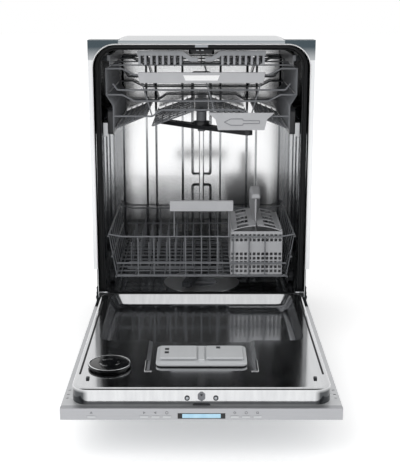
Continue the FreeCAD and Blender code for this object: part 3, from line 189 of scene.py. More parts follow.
shade_towards(tub_steel, TUB_SHADE, ("Z",) + TUB_SHADED, within=inside.outputs["Result"])
shader = tree.nodes["Principled BSDF"]
set_sockets(tree, shader, {"Specular Tint": shader.inputs["Base Color"].links[0].from_socket})
dress(tub_steel, "tub_wrap", "tub_floor")


def open_piece(name, scale=(1, 1, 1)):
    """Name the primitive just added, settle its place and size in its mesh, and open it in edit mode."""
    piece = bpy.context.object
    piece.name = name
    piece.scale = scale
    bpy.ops.object.transform_apply(location=True, rotation=True, scale=True)
    bpy.ops.object.mode_set(mode="EDIT")
    return piece


def start_block(name, low, high):
    """Add a cube that fills the box from low to high, and open it with nothing selected."""
    bpy.ops.object.select_all(action="DESELECT")
    bpy.ops.mesh.primitive_cube_add(size=1, location=[(a + b) / 2 for a, b in zip(low, high)])
    piece = open_piece(name, [b - a for a, b in zip(low, high)])
    bpy.ops.mesh.select_all(action="DESELECT")
    return piece


def pick(piece, kind, test):
    """Select the faces, edges or verts of a piece in edit mode whose middle passes a test."""
    bpy.ops.mesh.select_mode(type={"faces": "FACE", "edges": "EDGE", "verts": "VERT"}[kind])
    bpy.ops.mesh.select_all(action="DESELECT")
    mesh = bmesh.from_edit_mesh(piece.data)
    for item in getattr(mesh, kind):
        corners = [item.co] if kind == "verts" else [v.co for v in item.verts]
        if test(sum(corners, Vector()) / len(corners), item):
            item.select_set(True)
    bmesh.update_edit_mesh(piece.data)


def upright(middle, edge):
    """Say whether an edge stands upright."""
    return abs((edge.verts[0].co - edge.verts[1].co).normalized().z) > 0.9


def facing(axis, way):
    """Make a test for faces that look along an axis, 0 for X to 2 for Z, in a way of 1 or -1."""
    return lambda middle, face: face.normal[axis] * way > 0.9


def close_piece(piece, material, body, edge=0.0, segments=3, turn=30.0):
    """Leave edit mode, round the sharp edges, shade, dress and seat a finished piece."""
    bpy.ops.mesh.select_all(action="SELECT")
    bpy.ops.mesh.normals_make_consistent(inside=False)
    bpy.ops.object.mode_set(mode="OBJECT")
    if edge:
        rounding = piece.modifiers.new("rounded edges", "BEVEL")
        rounding.width = edge
        rounding.segments = segments
        rounding.limit_method = "ANGLE"
        rounding.angle_limit = math.radians(turn)
        bpy.ops.object.modifier_apply(modifier=rounding.name)
    bpy.ops.object.shade_smooth_by_angle(angle=math.radians(35))
    if edge:
        flats = piece.modifiers.new("flat faces stay flat", "WEIGHTED_NORMAL")
        flats.keep_sharp = True
        bpy.ops.object.modifier_apply(modifier=flats.name)
    piece.data.materials.append(material)
    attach(piece, body)


def copy_piece(piece, name, shift, body):
    """Copy a finished piece with its own mesh, moved by a shift."""
    twin = piece.copy()
    twin.data = piece.data.copy()
    twin.name = name
    bpy.context.scene.collection.objects.link(twin)
    bpy.ops.object.select_all(action="DESELECT")
    twin.select_set(True)
    bpy.context.view_layer.objects.active = twin
    twin.location = shift
    bpy.ops.object.transform_apply(location=True, rotation=True, scale=True)
    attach(twin, body)
    return twin


wall_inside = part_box("tub_wrap")[1][0] - TUB_SHEET
bead_middle = (0, BEAD_PLACES[0], (BEAD_LOW + BEAD_HIGH) / 2)
for side, side_name in reversed(SIDES):
    x0, x1 = sorted((side * wall_inside, side * (wall_inside - BEAD_RISE)))
    bead = start_block("wall_bead_%s_1" % side_name, (x0, BEAD_PLACES[0] - BEAD_WIDTH / 2, BEAD_LOW),
                       (x1, BEAD_PLACES[0] + BEAD_WIDTH / 2, BEAD_HIGH))
    pick(bead, "faces", facing(0, -side))
    bpy.ops.transform.resize(value=BEAD_CROWN, center_override=bead_middle)
    close_piece(bead, tub_steel, "cabinet", edge=0.0016)
    for number, place in enumerate(BEAD_PLACES[1:], start=2):
        copy_piece(bead, "wall_bead_%s_%d" % (side_name, number), (0, place - BEAD_PLACES[0], 0),
                   "cabinet")


# Tub back: a stainless sheet with four broad raised panels and two long loops pressed
# into it for stiffness, welded into the wrap's rear edge.
BACK_DARK = "#E2E3E4"
BACK_LIGHT = "#F3F3F4"
BACK_GRAIN = (0.004, 0.004, 0.25)
BACK_SHEET = 0.0012
BACK_RISE = 0.0042
BACK_SLOPE = 0.007
BACK_PANELS = ((0.060, 0.144), (0.174, 0.248))
BACK_PANEL_LOW, BACK_PANEL_HIGH = 0.186, 0.788
BACK_CORNER = 0.0612
# How near to a face a corner or an edge counts as on it.
NEAR, TOUCH = 0.001, 0.0001
LOOP_HALF = 0.033
LOOP_BEAD = 0.009
LOOP_CORNER = 0.012
LOOP_HEIGHTS = ((0.196, 0.382), (0.408, 0.740))

# Bright stainless, finer polished: it spreads the room's light, so it reads nearly white.
back_steel = rolled_metal("fine polished stainless steel", BACK_DARK, BACK_LIGHT, BACK_GRAIN, 0.13, 0.19,
                          0.4, 0.0003)


def start_sheet(name, low, high):
    """Add an upright sheet between two corners, facing the front, and open it in edit mode."""
    bpy.ops.object.select_all(action="DESELECT")
    bpy.ops.mesh.primitive_plane_add(size=1, location=[(a + b) / 2 for a, b in zip(low, high)],
                                     rotation=(math.pi / 2, 0, 0))
    return open_piece(name, (high[0] - low[0], high[2] - low[2], 1))


def slice_across(axis, places):
    """Cut the piece in edit mode straight through at each place along an axis."""
    for place in places:
        bpy.ops.mesh.select_all(action="SELECT")
        bpy.ops.mesh.bisect(plane_co=axis * place, plane_no=axis)


def thicken(piece, thickness):
    """Give an open sheet its thickness, behind the side that its normals show."""
    bpy.ops.object.mode_set(mode="OBJECT")
    wall = piece.modifiers.new("sheet", "SOLIDIFY")
    wall.thickness = thickness
    wall.offset = -1
    bpy.ops.object.modifier_apply(modifier=wall.name)
    bpy.ops.object.mode_set(mode="EDIT")


back_low, back_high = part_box("tub_back")
back_face = back_high[1] - BACK_SHEET
back = start_sheet("tub_back_pressing", (back_low[0], back_face, back_low[2]),
                   (back_high[0], back_face, back_high[2]))
pick(back, "verts", lambda middle, vert: middle.z > back_high[2] - NEAR)
bpy.ops.mesh.bevel(offset=BACK_CORNER, offset_type="OFFSET", segments=12, affect="VERTICES")
half_slope = BACK_SLOPE / 2
cuts = [sign * (edge + side) for span in BACK_PANELS for edge in span for side in (-half_slope, half_slope)
        for sign in (-1, 1)]
slice_across(Vector((1, 0, 0)), cuts)
slice_across(Vector((0, 0, 1)), [edge + side for edge in (BACK_PANEL_LOW, BACK_PANEL_HIGH)
                                 for side in (-half_slope, half_slope)])


def slope_face(piece, margin, way, test):
    """Inset the faces that pass a test and move them, which leaves sloped sides."""
    pick(piece, "faces", test)
    bpy.ops.mesh.inset(thickness=margin)
    bpy.ops.transform.translate(value=way)


def in_panel(middle):
    """Say whether a place lies on the raised flat of a back panel."""
    across = any(inner + half_slope < abs(middle.x) < outer - half_slope for inner, outer in BACK_PANELS)
    return across and BACK_PANEL_LOW + half_slope < middle.z < BACK_PANEL_HIGH - half_slope


pick(back, "faces", lambda middle, face: in_panel(middle))
bpy.ops.transform.translate(value=(0, -BACK_RISE, 0))
thicken(back, BACK_SHEET)
close_piece(back, back_steel, "cabinet", edge=0.0012, turn=12.0)
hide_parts("tub_back")
for number, (loop_low, loop_high) in enumerate(LOOP_HEIGHTS, start=1):
    loop = start_sheet("back_loop_%d" % number, (-LOOP_HALF, back_face, loop_low),
                       (LOOP_HALF, back_face, loop_high))
    bpy.ops.mesh.select_all(action="SELECT")
    bpy.ops.mesh.bevel(offset=LOOP_CORNER, offset_type="OFFSET", segments=6, affect="VERTICES")
    slope_face(loop, LOOP_BEAD / 2, (0, -BACK_RISE, 0), lambda middle, face: True)
    bpy.ops.mesh.inset(thickness=LOOP_BEAD / 2)
    bpy.ops.transform.translate(value=(0, BACK_RISE, 0))
    bpy.ops.mesh.delete(type="ONLY_FACE")
    thicken(loop, BACK_SHEET / 4)
    close_piece(loop, back_steel, "cabinet", edge=0.0008, turn=25.0)


# Front flange and corner plates: the tub's front edge is folded out into a satin frame, and
# folded plates at its top corners take the screws into the worktop.
FLANGE_DARK = "#E2E4E6"
FLANGE_LIGHT = "#F2F3F4"
FLANGE_SHADE = "#8D969B"
FLANGE_SHADED = (0.838, 0.859)
FLANGE_GRAIN = (0.004, 0.004, 0.12)
PLATE_SHADE = "#4A555B"
PLATE_SHADED = (0.782, 0.842)

# Satin stainless: pale, with an even soft sheen and a faint upright brushing. Towards its top edge it is
# painted darker, a painted reflection of the unlit room in front.
satin_steel = rolled_metal("satin stainless steel", FLANGE_DARK, FLANGE_LIGHT, FLANGE_GRAIN, 0.28, 0.40,
                           0.2, 0.002)
shade_towards(satin_steel, FLANGE_SHADE, ("Z",) + FLANGE_SHADED)
dress(satin_steel, "front_flange")

# Folded plate: satin stainless, painted darker towards the top fold, a painted reflection of the unlit room in
# front.
plate_steel = rolled_metal("folded satin stainless steel", FLANGE_DARK, FLANGE_LIGHT, FLANGE_GRAIN, 0.20, 0.30,
                           0.2, 0.001)
shade_towards(plate_steel, PLATE_SHADE, ("Z",) + PLATE_SHADED)
dress(plate_steel, "corner_plates")


# Mouth bead: the tub's sheet is rolled over the flange's inner edge into a fine bead, up both
# sides of the mouth and over its top.
MOUTH_DARK = "#E8E9EA"
MOUTH_LIGHT = "#F6F6F7"
MOUTH_RADIUS = 0.0018
MOUTH_SIDE, MOUTH_TOP, MOUTH_BEND = 0.2872, 0.8492, 0.0612
MOUTH_DEPTH = 0.0682
MOUTH_FOOT = 0.24
PROFILE_POINTS = 18
BEND_STEPS = 12


def extrude(x, y, z):
    """Draw out what is selected."""
    bpy.ops.mesh.extrude_region_move(TRANSFORM_OT_translate={"value": (x, y, z)})


def move_corners(piece, way, test):
    """Move the corners that pass a test."""
    pick(piece, "verts", test)
    bpy.ops.transform.translate(value=way)


def sweep_mouth(name, half_size, side_and_depth, foot, top, bend, groove=0.0):
    """Draw a round profile up one side of the tub's mouth, over its top and down the other side."""
    side, depth = side_and_depth
    bend_x, bend_z = side - bend, top - bend
    bpy.ops.object.select_all(action="DESELECT")
    bpy.ops.mesh.primitive_circle_add(vertices=PROFILE_POINTS, radius=1, location=(-side, depth, foot))
    piece = open_piece(name, half_size + (1,))
    move_corners(piece, (0, groove, 0), lambda middle, vert: middle.y < depth - 0.92 * half_size[1])
    bpy.ops.mesh.select_all(action="SELECT")
    extrude(0, 0, bend_z - foot)
    bpy.ops.mesh.spin(steps=BEND_STEPS, angle=-math.pi / 2, center=(-bend_x, depth, bend_z), axis=(0, 1, 0))
    extrude(2 * bend_x, 0, 0)
    bpy.ops.mesh.spin(steps=BEND_STEPS, angle=-math.pi / 2, center=(bend_x, depth, bend_z), axis=(0, 1, 0))
    extrude(0, 0, foot - bend_z)
    bpy.ops.mesh.select_all(action="SELECT")
    bpy.ops.mesh.remove_doubles(threshold=TOUCH)
    pick(piece, "edges", lambda middle, edge: edge.is_boundary)
    bpy.ops.mesh.edge_face_add()
    return piece


# Rolled edge: stainless that is dulled by the rolling, so it stays pale from every side.
bead_steel = rolled_metal("rolled edge of stainless steel", MOUTH_DARK, MOUTH_LIGHT, FLANGE_GRAIN, 0.5, 0.62,
                          0.2, 0.001)
mouth_bead = sweep_mouth("mouth_bead", (MOUTH_RADIUS, MOUTH_RADIUS), (MOUTH_SIDE, MOUTH_DEPTH), MOUTH_FOOT,
                         MOUTH_TOP, MOUTH_BEND)
close_piece(mouth_bead, bead_steel, "cabinet")


# Latch strike: a small folded plate at the top of the mouth that the door's latch hooks on,
# pressed from zinc plated steel sheet.
ZINC_DARK = "#8F9398"
ZINC_LIGHT = "#B4B8BC"
ZINC_GRAIN = (0.05, 0.05, 0.05)

# Zinc plate: a cool grey, half-dull metal with a faint cloudy bloom.
zinc = rolled_metal("zinc plated steel", ZINC_DARK, ZINC_LIGHT, ZINC_GRAIN, 0.24, 0.38, 0.08, 0.001)
dress(zinc, "latch_strike")


# Door hinges and rails: pressed brackets on the tub's foot, cranked arms on the door and the
# folded telescope rails, all of steel that is blacked against rust.
HINGE_DARK = "#2B2D2F"
HINGE_LIGHT = "#45484B"
HINGE_GRAIN = (0.02, 0.02, 0.02)

# Blacked steel: a dark oxide skin with a greasy shine.
blacked_steel = rolled_metal("blacked steel", HINGE_DARK, HINGE_LIGHT, HINGE_GRAIN, 0.30, 0.45, 0.05, 0.0005)
dress(blacked_steel, "hinge_brackets", "hinge_arms", "rack_rails", "rail_middle")


# Ceiling lamp: a black moulded box under the tub's ceiling, behind the tray's middle. Two
# small clear windows in its front let the light out.
LENS_PLACES = (-0.0105, 0.0025)
LENS_HALF_WIDTH = 0.0035
LENS_HALF_HEIGHT = 0.0022
LENS_PROUD = 0.0008
LENS_SHARE = 0.4
LENS_BORDER = 0.0006
LENS_DOME = 0.0004
LENS_FROST = 0.002

dress(black_plastic, "ceiling_lamp")

# Clear lens: a small bright polycarbonate window, faintly lit from behind.
lens_glass, tree, shader, place = new_material("clear polycarbonate lens")
frost = add_node(tree, "ShaderNodeTexNoise", {"Vector": place, "Scale": 1 / LENS_FROST, "Detail": 2.0})
frost_gloss = add_node(tree, "ShaderNodeMapRange", {"Value": frost.outputs["Fac"], "To Min": 0.08,
                                                    "To Max": 0.22})
set_sockets(tree, shader, {"Base Color": linear("#E9ECEE"), "Roughness": frost_gloss.outputs["Result"],
                           "IOR": 1.58, "Emission Color": linear("#F4F6FF"),
                           "Emission Strength": 0.25})
lamp_low, lamp_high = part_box("ceiling_lamp")
lens_height = lamp_low[2] + (lamp_high[2] - lamp_low[2]) * LENS_SHARE
for number, lens_x in enumerate(LENS_PLACES, start=1):
    lens = start_block("lamp_lens_%d" % number,
                       (lens_x - LENS_HALF_WIDTH, lamp_low[1] - LENS_PROUD, lens_height - LENS_HALF_HEIGHT),
                       (lens_x + LENS_HALF_WIDTH, lamp_low[1] + LENS_PROUD, lens_height + LENS_HALF_HEIGHT))
    slope_face(lens, LENS_BORDER, (0, -LENS_DOME, 0), facing(1, -1))
    close_piece(lens, lens_glass, "cabinet", edge=0.0004)


# Door gasket: one length of extruded rubber bulb seal, pressed into the tub's mouth and
# running up both sides and over the top.
GASKET_DARK = "#101113"
GASKET_LIGHT = "#1E2022"
GASKET_HALF_WIDTH = 0.0078
GASKET_HALF_DEPTH = 0.0063
GASKET_BEND = 0.0517
GASKET_GROOVE = 0.0042
GASKET_PLAY = 0.0002

# Sealing rubber: soft black with a dusty, slightly streaked bloom along its length.
rubber = moulded_plastic("black sealing rubber", GASKET_DARK, GASKET_LIGHT, 0.012, 0.0009, 0.55, 0.75)
gasket_low, gasket_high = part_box("door_gasket")
seal_x = gasket_high[0] - GASKET_HALF_WIDTH - GASKET_PLAY
seal_y = (gasket_low[1] + gasket_high[1]) / 2
seal_top = gasket_high[2] - GASKET_HALF_WIDTH - GASKET_PLAY
gasket = sweep_mouth("gasket_seal", (GASKET_HALF_WIDTH, GASKET_HALF_DEPTH), (seal_x, seal_y), gasket_low[2],
                     seal_top, GASKET_BEND, GASKET_GROOVE)
close_piece(gasket, rubber, "cabinet")
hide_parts("door_gasket")


# Sill seal: a strip of the same rubber, pressed along the front of the floor's sill under the
# door's tail.
SILL_HALF = 0.284
SILL_FRONT, SILL_BACK = 0.0738, 0.0777
SILL_LOW, SILL_HIGH = 0.1500, 0.1662
SILL_ROUND = 0.0025


def round_edges(piece, radius, segments, test):
    """Round off the edges that pass a test, or chamfer them with one segment."""
    pick(piece, "edges", test)
    bpy.ops.mesh.bevel(offset=radius, segments=segments, affect="EDGES")


sill = start_block("sill_seal", (-SILL_HALF, SILL_FRONT, SILL_LOW), (SILL_HALF, SILL_BACK, SILL_HIGH))
round_edges(sill, SILL_ROUND, 5,
            lambda middle, edge: middle.y < SILL_FRONT + TOUCH and middle.z > SILL_HIGH - TOUCH)
close_piece(sill, rubber, "cabinet", edge=0.0004)


# Insulation and side tank: heavy bitumen mats are stuck to the outside of the tub, and a
# blown polypropylene tank beside it breaks the water's inlet from the supply.
MAT_DARK = "#17181A"
MAT_LIGHT = "#2A2B2D"
TANK_DARK = "#C9CFCE"
TANK_LIGHT = "#E2E6E4"

# Bitumen felt: matt black with a coarse, pitted nap.
bitumen = moulded_plastic("bitumen felt", MAT_DARK, MAT_LIGHT, 0.02, 0.004, 0.85, 0.97)
dress(bitumen, "insulation_mats")

# Natural polypropylene: milky and waxy, a little light comes through it.
milky_plastic = moulded_plastic("natural polypropylene", TANK_DARK, TANK_LIGHT, 0.06, 0.003, 0.32, 0.45)
milky_plastic.node_tree.nodes["Principled BSDF"].inputs["Transmission Weight"].default_value = 0.35
dress(milky_plastic, "air_break_tank")


# Door springs: close-wound spring wire, hooked between the hinge levers and pegs low on
# the base, which balance the door.
SPRING_PITCH = 0.0028
WAVES_PER_UNIT = 20
SPRING_DARK = "#3A3C3F"
SPRING_LIGHT = "#8C9095"

# Spring steel: dark oiled wire; the close winding is drawn as a bump from coil to coil, with painted shade
# between the coils and a painted highlight on each coil's crown.
spring_steel, tree, shader, place = new_material("oiled spring steel")
winding = add_node(tree, "ShaderNodeTexWave", {"Vector": place, "Scale": 1 / SPRING_PITCH / WAVES_PER_UNIT,
                                              "Distortion": 0.0}, wave_type="BANDS", bands_direction="Y")
coil_shade_and_highlight = add_node(tree, "ShaderNodeMix", {0: winding.outputs["Fac"], 6: linear(SPRING_DARK),
                                             7: linear(SPRING_LIGHT)}, data_type="RGBA")
coil_bump = add_node(tree, "ShaderNodeBump", {"Height": winding.outputs["Fac"], "Strength": 0.8,
                                              "Distance": 0.0012})
set_sockets(tree, shader, {"Base Color": coil_shade_and_highlight.outputs[2], "Metallic": 1.0, "Roughness": 0.34,
                           "Normal": coil_bump.outputs["Normal"]})
dress(spring_steel, "door_springs")


# Feed riser and spray arms: the riser is a folded stainless channel up the tub's back, and the
# arms are dark glass-filled polypropylene, welded from two shells.
ARM_DARK = "#1D1E20"
ARM_LIGHT = "#303236"

# Glass-filled polypropylene: dark grey with a dull satin skin.
dark_plastic = moulded_plastic("dark glass filled polypropylene", ARM_DARK, ARM_LIGHT, 0.03, 0.0012, 0.30, 0.44)
dress(dark_plastic, "upper_spray_arm", "lower_spray_arm")
dress(back_steel, "feed_riser")


# Filter and duct: a perforated stainless plate in the tub's floor with a moulded cup turned
# into it, and the duct that feeds the upper arm, of the same grey moulding.
HOLE_PITCH = 0.0024
HOLE_EDGE = (0.28, 0.36)
HOLE_DARK = "#2A2C2E"
HOLE_STEEL = "#E4E5E6"

# Perforated stainless: the round holes are drawn as dark dots, painted shade for the unlit space under the
# plate, at their real pitch.
filter_steel, tree, shader, place = new_material("perforated stainless steel")
holes = add_node(tree, "ShaderNodeTexVoronoi", {"Vector": place, "Scale": 1 / HOLE_PITCH, "Randomness": 0.0})
hole_edge = add_node(tree, "ShaderNodeMapRange", {"Value": holes.outputs["Distance"], "From Min": HOLE_EDGE[0],
                                                  "From Max": HOLE_EDGE[1]})
hole_tint = add_node(tree, "ShaderNodeMix", {0: hole_edge.outputs["Result"], 6: linear(HOLE_DARK),
                                             7: linear(HOLE_STEEL)}, data_type="RGBA")
hole_gloss = add_node(tree, "ShaderNodeMapRange", {"Value": hole_edge.outputs["Result"], "To Min": 0.7,
                                                   "To Max": 0.42})
set_sockets(tree, shader, {"Base Color": hole_tint.outputs[2], "Metallic": 1.0,
                           "Roughness": hole_gloss.outputs["Result"]})
dress(filter_steel, "filter_plate")

# Grey polypropylene: a mid grey, softly shining moulding.
grey_plastic = moulded_plastic("grey moulded polypropylene", "#6E7074", "#808287", 0.03, 0.0012, 0.32, 0.45)
dress(grey_plastic, "filter_cup", "upper_arm_duct")


# Cutlery tray: a wire frame that hangs in two runners under the ceiling, with two moulded
# combs clipped into it that hold cutlery apart.
COMB_DARK = "#8E9094"
COMB_LIGHT = "#A6A8AC"
WIRE_DARK = "#606266"
WIRE_LIGHT = "#7C7E82"

# Comb moulding: mid grey, slightly shiny from the polished mould.
comb_plastic = moulded_plastic("grey comb polypropylene", COMB_DARK, COMB_LIGHT, 0.03, 0.0012, 0.28, 0.40)
dress(comb_plastic, "tray_combs")

# Nylon coat: a smooth, slightly waxy grey that thickens unevenly along the wire.
wire_coat = moulded_plastic("grey nylon coated wire", WIRE_DARK, WIRE_LIGHT, 0.02, 0.003, 0.26, 0.40)
dress(wire_coat, "tray_frame")


# Upper rack: welded wire dipped in nylon, hung between dark moulded side plates on
# telescopic runners.
dress(wire_coat, "upper_rack_basket")
dress(dark_plastic, "upper_rack_side_plates", "upper_rack_runners")


# Runner caps: small pale mouldings, pushed onto the front ends of the rack's runners so that
# no raw edge shows.
END_DARK = "#BEC0C3"
END_LIGHT = "#CFD1D3"
END_DEPTH = 0.0042
END_SPREAD = 0.0012
END_TALL = 0.0055
END_BORDER = 0.002
END_DOME = 0.0006
END_PLAY = 0.0002

# Pale moulding: nearly white, with a soft even shine.
cap_plastic = moulded_plastic("pale moulded polypropylene", END_DARK, END_LIGHT, 0.02, 0.0012, 0.30, 0.42)
runner_low, runner_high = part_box("upper_rack_runners")
cap_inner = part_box("upper_rack_side_plates")[1][0] - END_SPREAD
cap_outer = runner_high[0] + END_SPREAD
for side, side_name in SIDES:
    x0, x1 = sorted((side * cap_inner, side * cap_outer))
    runner_cap = start_block("runner_cap_%s" % side_name,
                             (x0, runner_low[1] - END_DEPTH, runner_low[2] - END_TALL),
                             (x1, runner_low[1] - END_PLAY, runner_high[2] + END_TALL))
    slope_face(runner_cap, END_BORDER, (0, -END_DOME, 0), facing(1, -1))
    close_piece(runner_cap, cap_plastic, "upper_rack", edge=0.0010)


# Upper handle: a tapered light grey moulding clipped over the rack's top wire, hollow at the
# back, with a small bare metal plate let into its middle.
HANDLE_TAPER = 0.97
HANDLE_HOLLOW = 0.006
HANDLE_EDGE = 0.0012
HANDLE_WALL = 0.003
HANDLE_DARK = "#A9AAAD"
HANDLE_LIGHT = "#B7B8BB"
MIDDLE = (0, 0, 0)
BADGE_HALF_TOP = 0.049
BADGE_TAPER = 0.88
BADGE_LOW_SHARE, BADGE_HIGH_SHARE = 0.24, 0.76
BADGE_PROUD = 0.0006
BADGE_DARK = "#DDDEDF"
BADGE_LIGHT = "#F2F2F2"
BADGE_GRAIN = (0.02, 0.02, 0.0008)


def squeeze(piece, scale, centre, test):
    """Scale the corners that pass a test about a centre."""
    pick(piece, "verts", test)
    bpy.ops.transform.resize(value=scale, center_override=centre)


def sink_face(piece, margin, way, test):
    """Inset the faces that pass a test and draw them in or out, which leaves straight sides."""
    pick(piece, "faces", test)
    bpy.ops.mesh.inset(thickness=margin)
    extrude(*way)


# Light grey polypropylene: cool pale grey with a silky sheen.
light_plastic = moulded_plastic("light grey moulded polypropylene", HANDLE_DARK, HANDLE_LIGHT, 0.04, 0.0015,
                                0.34, 0.46)
handle_low, handle_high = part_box("upper_rack_handle")
handle = start_block("upper_handle_moulding", handle_low, handle_high)
squeeze(handle, (HANDLE_TAPER, 1, 1), MIDDLE, lambda middle, vert: middle.z < handle_low[2] + NEAR)
sink_face(handle, HANDLE_WALL, (0, -HANDLE_HOLLOW, 0), facing(1, 1))
close_piece(handle, light_plastic, "upper_rack", edge=HANDLE_EDGE)
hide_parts("upper_rack_handle")

# Polished aluminium: a bright smooth plate with fine cross streaks.
badge_metal = rolled_metal("polished aluminium", BADGE_DARK, BADGE_LIGHT, BADGE_GRAIN, 0.14, 0.24, 0.05, 0.0005)
handle_rise = handle_high[2] - handle_low[2]
badge_low = handle_low[2] + handle_rise * BADGE_LOW_SHARE
badge_high = handle_low[2] + handle_rise * BADGE_HIGH_SHARE
badge = start_block("bare_handle_plate",
                    (-BADGE_HALF_TOP, handle_low[1] - BADGE_PROUD, badge_low),
                    (BADGE_HALF_TOP, handle_low[1] + BADGE_PROUD, badge_high))
squeeze(badge, (BADGE_TAPER, 1, 1), MIDDLE,
        lambda middle, vert: middle.z < (handle_low[2] + handle_high[2]) / 2)
close_piece(badge, badge_metal, "upper_rack", edge=0.0003, segments=2)


# Knife holder: a flat grey plate hung on the rack's lower wire. A knife's outline is moulded
# on it as a low bead, as a sign of what it holds.
KNIFE_LEFT, KNIFE_RIGHT = 0.0615, 0.158
KNIFE_MIDDLE = 0.639
KNIFE_HALF_BLADE = 0.0095
KNIFE_NECK = 0.112
KNIFE_LINE = 0.0016
KNIFE_TIP = 0.018
KNIFE_STEP = 0.002
KNIFE_POINT, KNIFE_GRIP = 0.1, 0.5
KNIFE_PROUD = 0.0009


def raise_outline(piece, line, way):
    """Turn a flat face into a low bead along its outline."""
    pick(piece, "faces", lambda middle, face: True)
    bpy.ops.mesh.inset(thickness=line)
    bpy.ops.mesh.delete(type="FACE")
    bpy.ops.mesh.select_all(action="SELECT")
    extrude(*way)


dress(light_plastic, "knife_holder")
mark_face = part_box("knife_holder")[0][1] - TOUCH
mark = start_sheet("knife_sign", (KNIFE_LEFT, mark_face, KNIFE_MIDDLE - KNIFE_HALF_BLADE),
                   (KNIFE_RIGHT, mark_face, KNIFE_MIDDLE + KNIFE_HALF_BLADE))
slice_across(Vector((1, 0, 0)), (KNIFE_LEFT + KNIFE_TIP, KNIFE_NECK, KNIFE_NECK + KNIFE_STEP))
squeeze(mark, (1, 1, KNIFE_POINT), (0, 0, KNIFE_MIDDLE), lambda middle, vert: middle.x < KNIFE_LEFT + NEAR)
squeeze(mark, (1, 1, KNIFE_GRIP), (0, 0, KNIFE_MIDDLE), lambda middle, vert: middle.x > KNIFE_NECK + NEAR)
bpy.ops.mesh.select_all(action="SELECT")
bpy.ops.mesh.dissolve_limited(angle_limit=math.radians(0.5))
raise_outline(mark, KNIFE_LINE, (0, -KNIFE_PROUD, 0))
# The bead is drawn in a darker grey than the plate, painted shade along the moulded line.
close_piece(mark, grey_plastic, "upper_rack", edge=0.0002, segments=2)


# Lower rack: a basket welded from wire and dipped in grey nylon. It rolls out on moulded
# wheels, which turn on pins in carriers that are clipped to its sides.
dress(wire_coat, "lower_rack_basket")
dress(dark_plastic, "wheel_carriers", "front_wheels", "rear_wheels")


# Lower handle: a light grey bar, moulded in one piece with a hollow back and pushed onto the
# rack's two posts.
LOWER_WALL = 0.0035
LOWER_HOLLOW = 0.004

lower_low, lower_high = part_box("lower_rack_handle")
lower_handle = start_block("lower_handle_moulding", lower_low, lower_high)
sink_face(lower_handle, LOWER_WALL, (0, -LOWER_HOLLOW, 0), facing(1, 1))
close_piece(lower_handle, light_plastic, "lower_rack", edge=0.0022, segments=4)
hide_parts("lower_rack_handle")


# Cutlery basket: a barred moulding with two curved lids that are clipped on. An upright blade
# parts it in the middle and carries the grip.
BASKET_DARK = "#A2A3A6"
BASKET_LIGHT = "#BABBBE"
BASKET_WIDTH = 0.145
BASKET_HEIGHT = 0.1256
BASKET_WALL = 0.002
BASKET_BAR = 0.0042
BASKET_COLUMNS = 12
BASKET_SIDE_COLUMNS = 18
BASKET_ROWS = (0.004, 0.0165, 0.029, 0.0415, 0.054, 0.0665, 0.0945, 0.107, 0.1195)
BLADE_FRONT, BLADE_BACK = 0.190, 0.254
BLADE_TOP = 0.426
BLADE_HALF = 0.002
BLADE_STEP = 0.004
BLADE_WAIST = 0.380
GRIP_HALF = 0.0105
GRIP_LIP = 0.003
GRIP_SINK = 0.003
GRIP_RISE = 0.011
GRIP_DROP = 0.013
GRIP_FLARE = 1.4
BLADE_SPREAD = 0.016

# Basket moulding: pale grey, with a soft uneven shine.
basket_plastic = moulded_plastic("pale grey basket polypropylene", BASKET_DARK, BASKET_LIGHT, 0.03, 0.0015,
                                 0.34, 0.48)
dress(basket_plastic, "cutlery_lid_left", "cutlery_lid_right")
basket_low, basket_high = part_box("cutlery_basket")
basket_right = basket_low[0] + BASKET_WIDTH
basket_top = basket_low[2] + BASKET_HEIGHT
basket = start_block("cutlery_basket_moulding", basket_low, (basket_right, basket_high[1], basket_top))
pick(basket, "faces", facing(2, 1))
bpy.ops.mesh.delete(type="FACE")
basket_length = basket_high[1] - basket_low[1]
slice_across(Vector((1, 0, 0)), [basket_low[0] + BASKET_WIDTH * i / BASKET_COLUMNS
                                 for i in range(1, BASKET_COLUMNS)])
slice_across(Vector((0, 1, 0)), [basket_low[1] + basket_length * i / BASKET_SIDE_COLUMNS
                                 for i in range(1, BASKET_SIDE_COLUMNS)])
slice_across(Vector((0, 0, 1)), [basket_low[2] + height for height in BASKET_ROWS])


def in_window(middle, face):
    """Say whether a face of the basket's walls belongs to a row of windows."""
    height = middle.z - basket_low[2]
    row = BASKET_ROWS[0] < height < BASKET_ROWS[-4] or BASKET_ROWS[-3] < height < BASKET_ROWS[-1]
    return abs(face.normal.z) < 0.1 and row


pick(basket, "faces", in_window)
bpy.ops.mesh.inset(thickness=BASKET_BAR / 2, use_individual=True)
bpy.ops.mesh.delete(type="FACE")
bpy.ops.mesh.select_all(action="SELECT")
bpy.ops.mesh.normals_make_consistent(inside=False)
thicken(basket, BASKET_WALL)
close_piece(basket, basket_plastic, "lower_rack")
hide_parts("cutlery_basket")

basket_middle = (basket_low[0] + basket_right) / 2
blade = start_block("basket_blade", (basket_middle - BLADE_HALF, BLADE_FRONT, basket_low[2] + BASKET_WALL),
                    (basket_middle + BLADE_HALF, BLADE_BACK, BLADE_TOP))
slice_across(Vector((0, 0, 1)), (basket_top - BLADE_STEP, BLADE_WAIST))
pick(blade, "faces", lambda middle, face: face.normal.y < -0.9 and middle.z < basket_top - BLADE_STEP)
extrude(0, basket_low[1] + BASKET_WALL - BLADE_FRONT, 0)
pick(blade, "faces", lambda middle, face: face.normal.y > 0.9 and middle.z < basket_top - BLADE_STEP)
extrude(0, basket_high[1] - BASKET_WALL - BLADE_BACK, 0)
squeeze(blade, (BLADE_SPREAD / BLADE_HALF, 1, 1), (basket_middle, 0, 0),
        lambda middle, vert: middle.z > BLADE_WAIST - NEAR and middle.y > BLADE_BACK - NEAR)
move_corners(blade, (0, 0, -GRIP_DROP),
             lambda middle, vert: middle.z > BLADE_TOP - NEAR and middle.y < BLADE_FRONT + NEAR)
close_piece(blade, basket_plastic, "lower_rack", edge=0.0012)
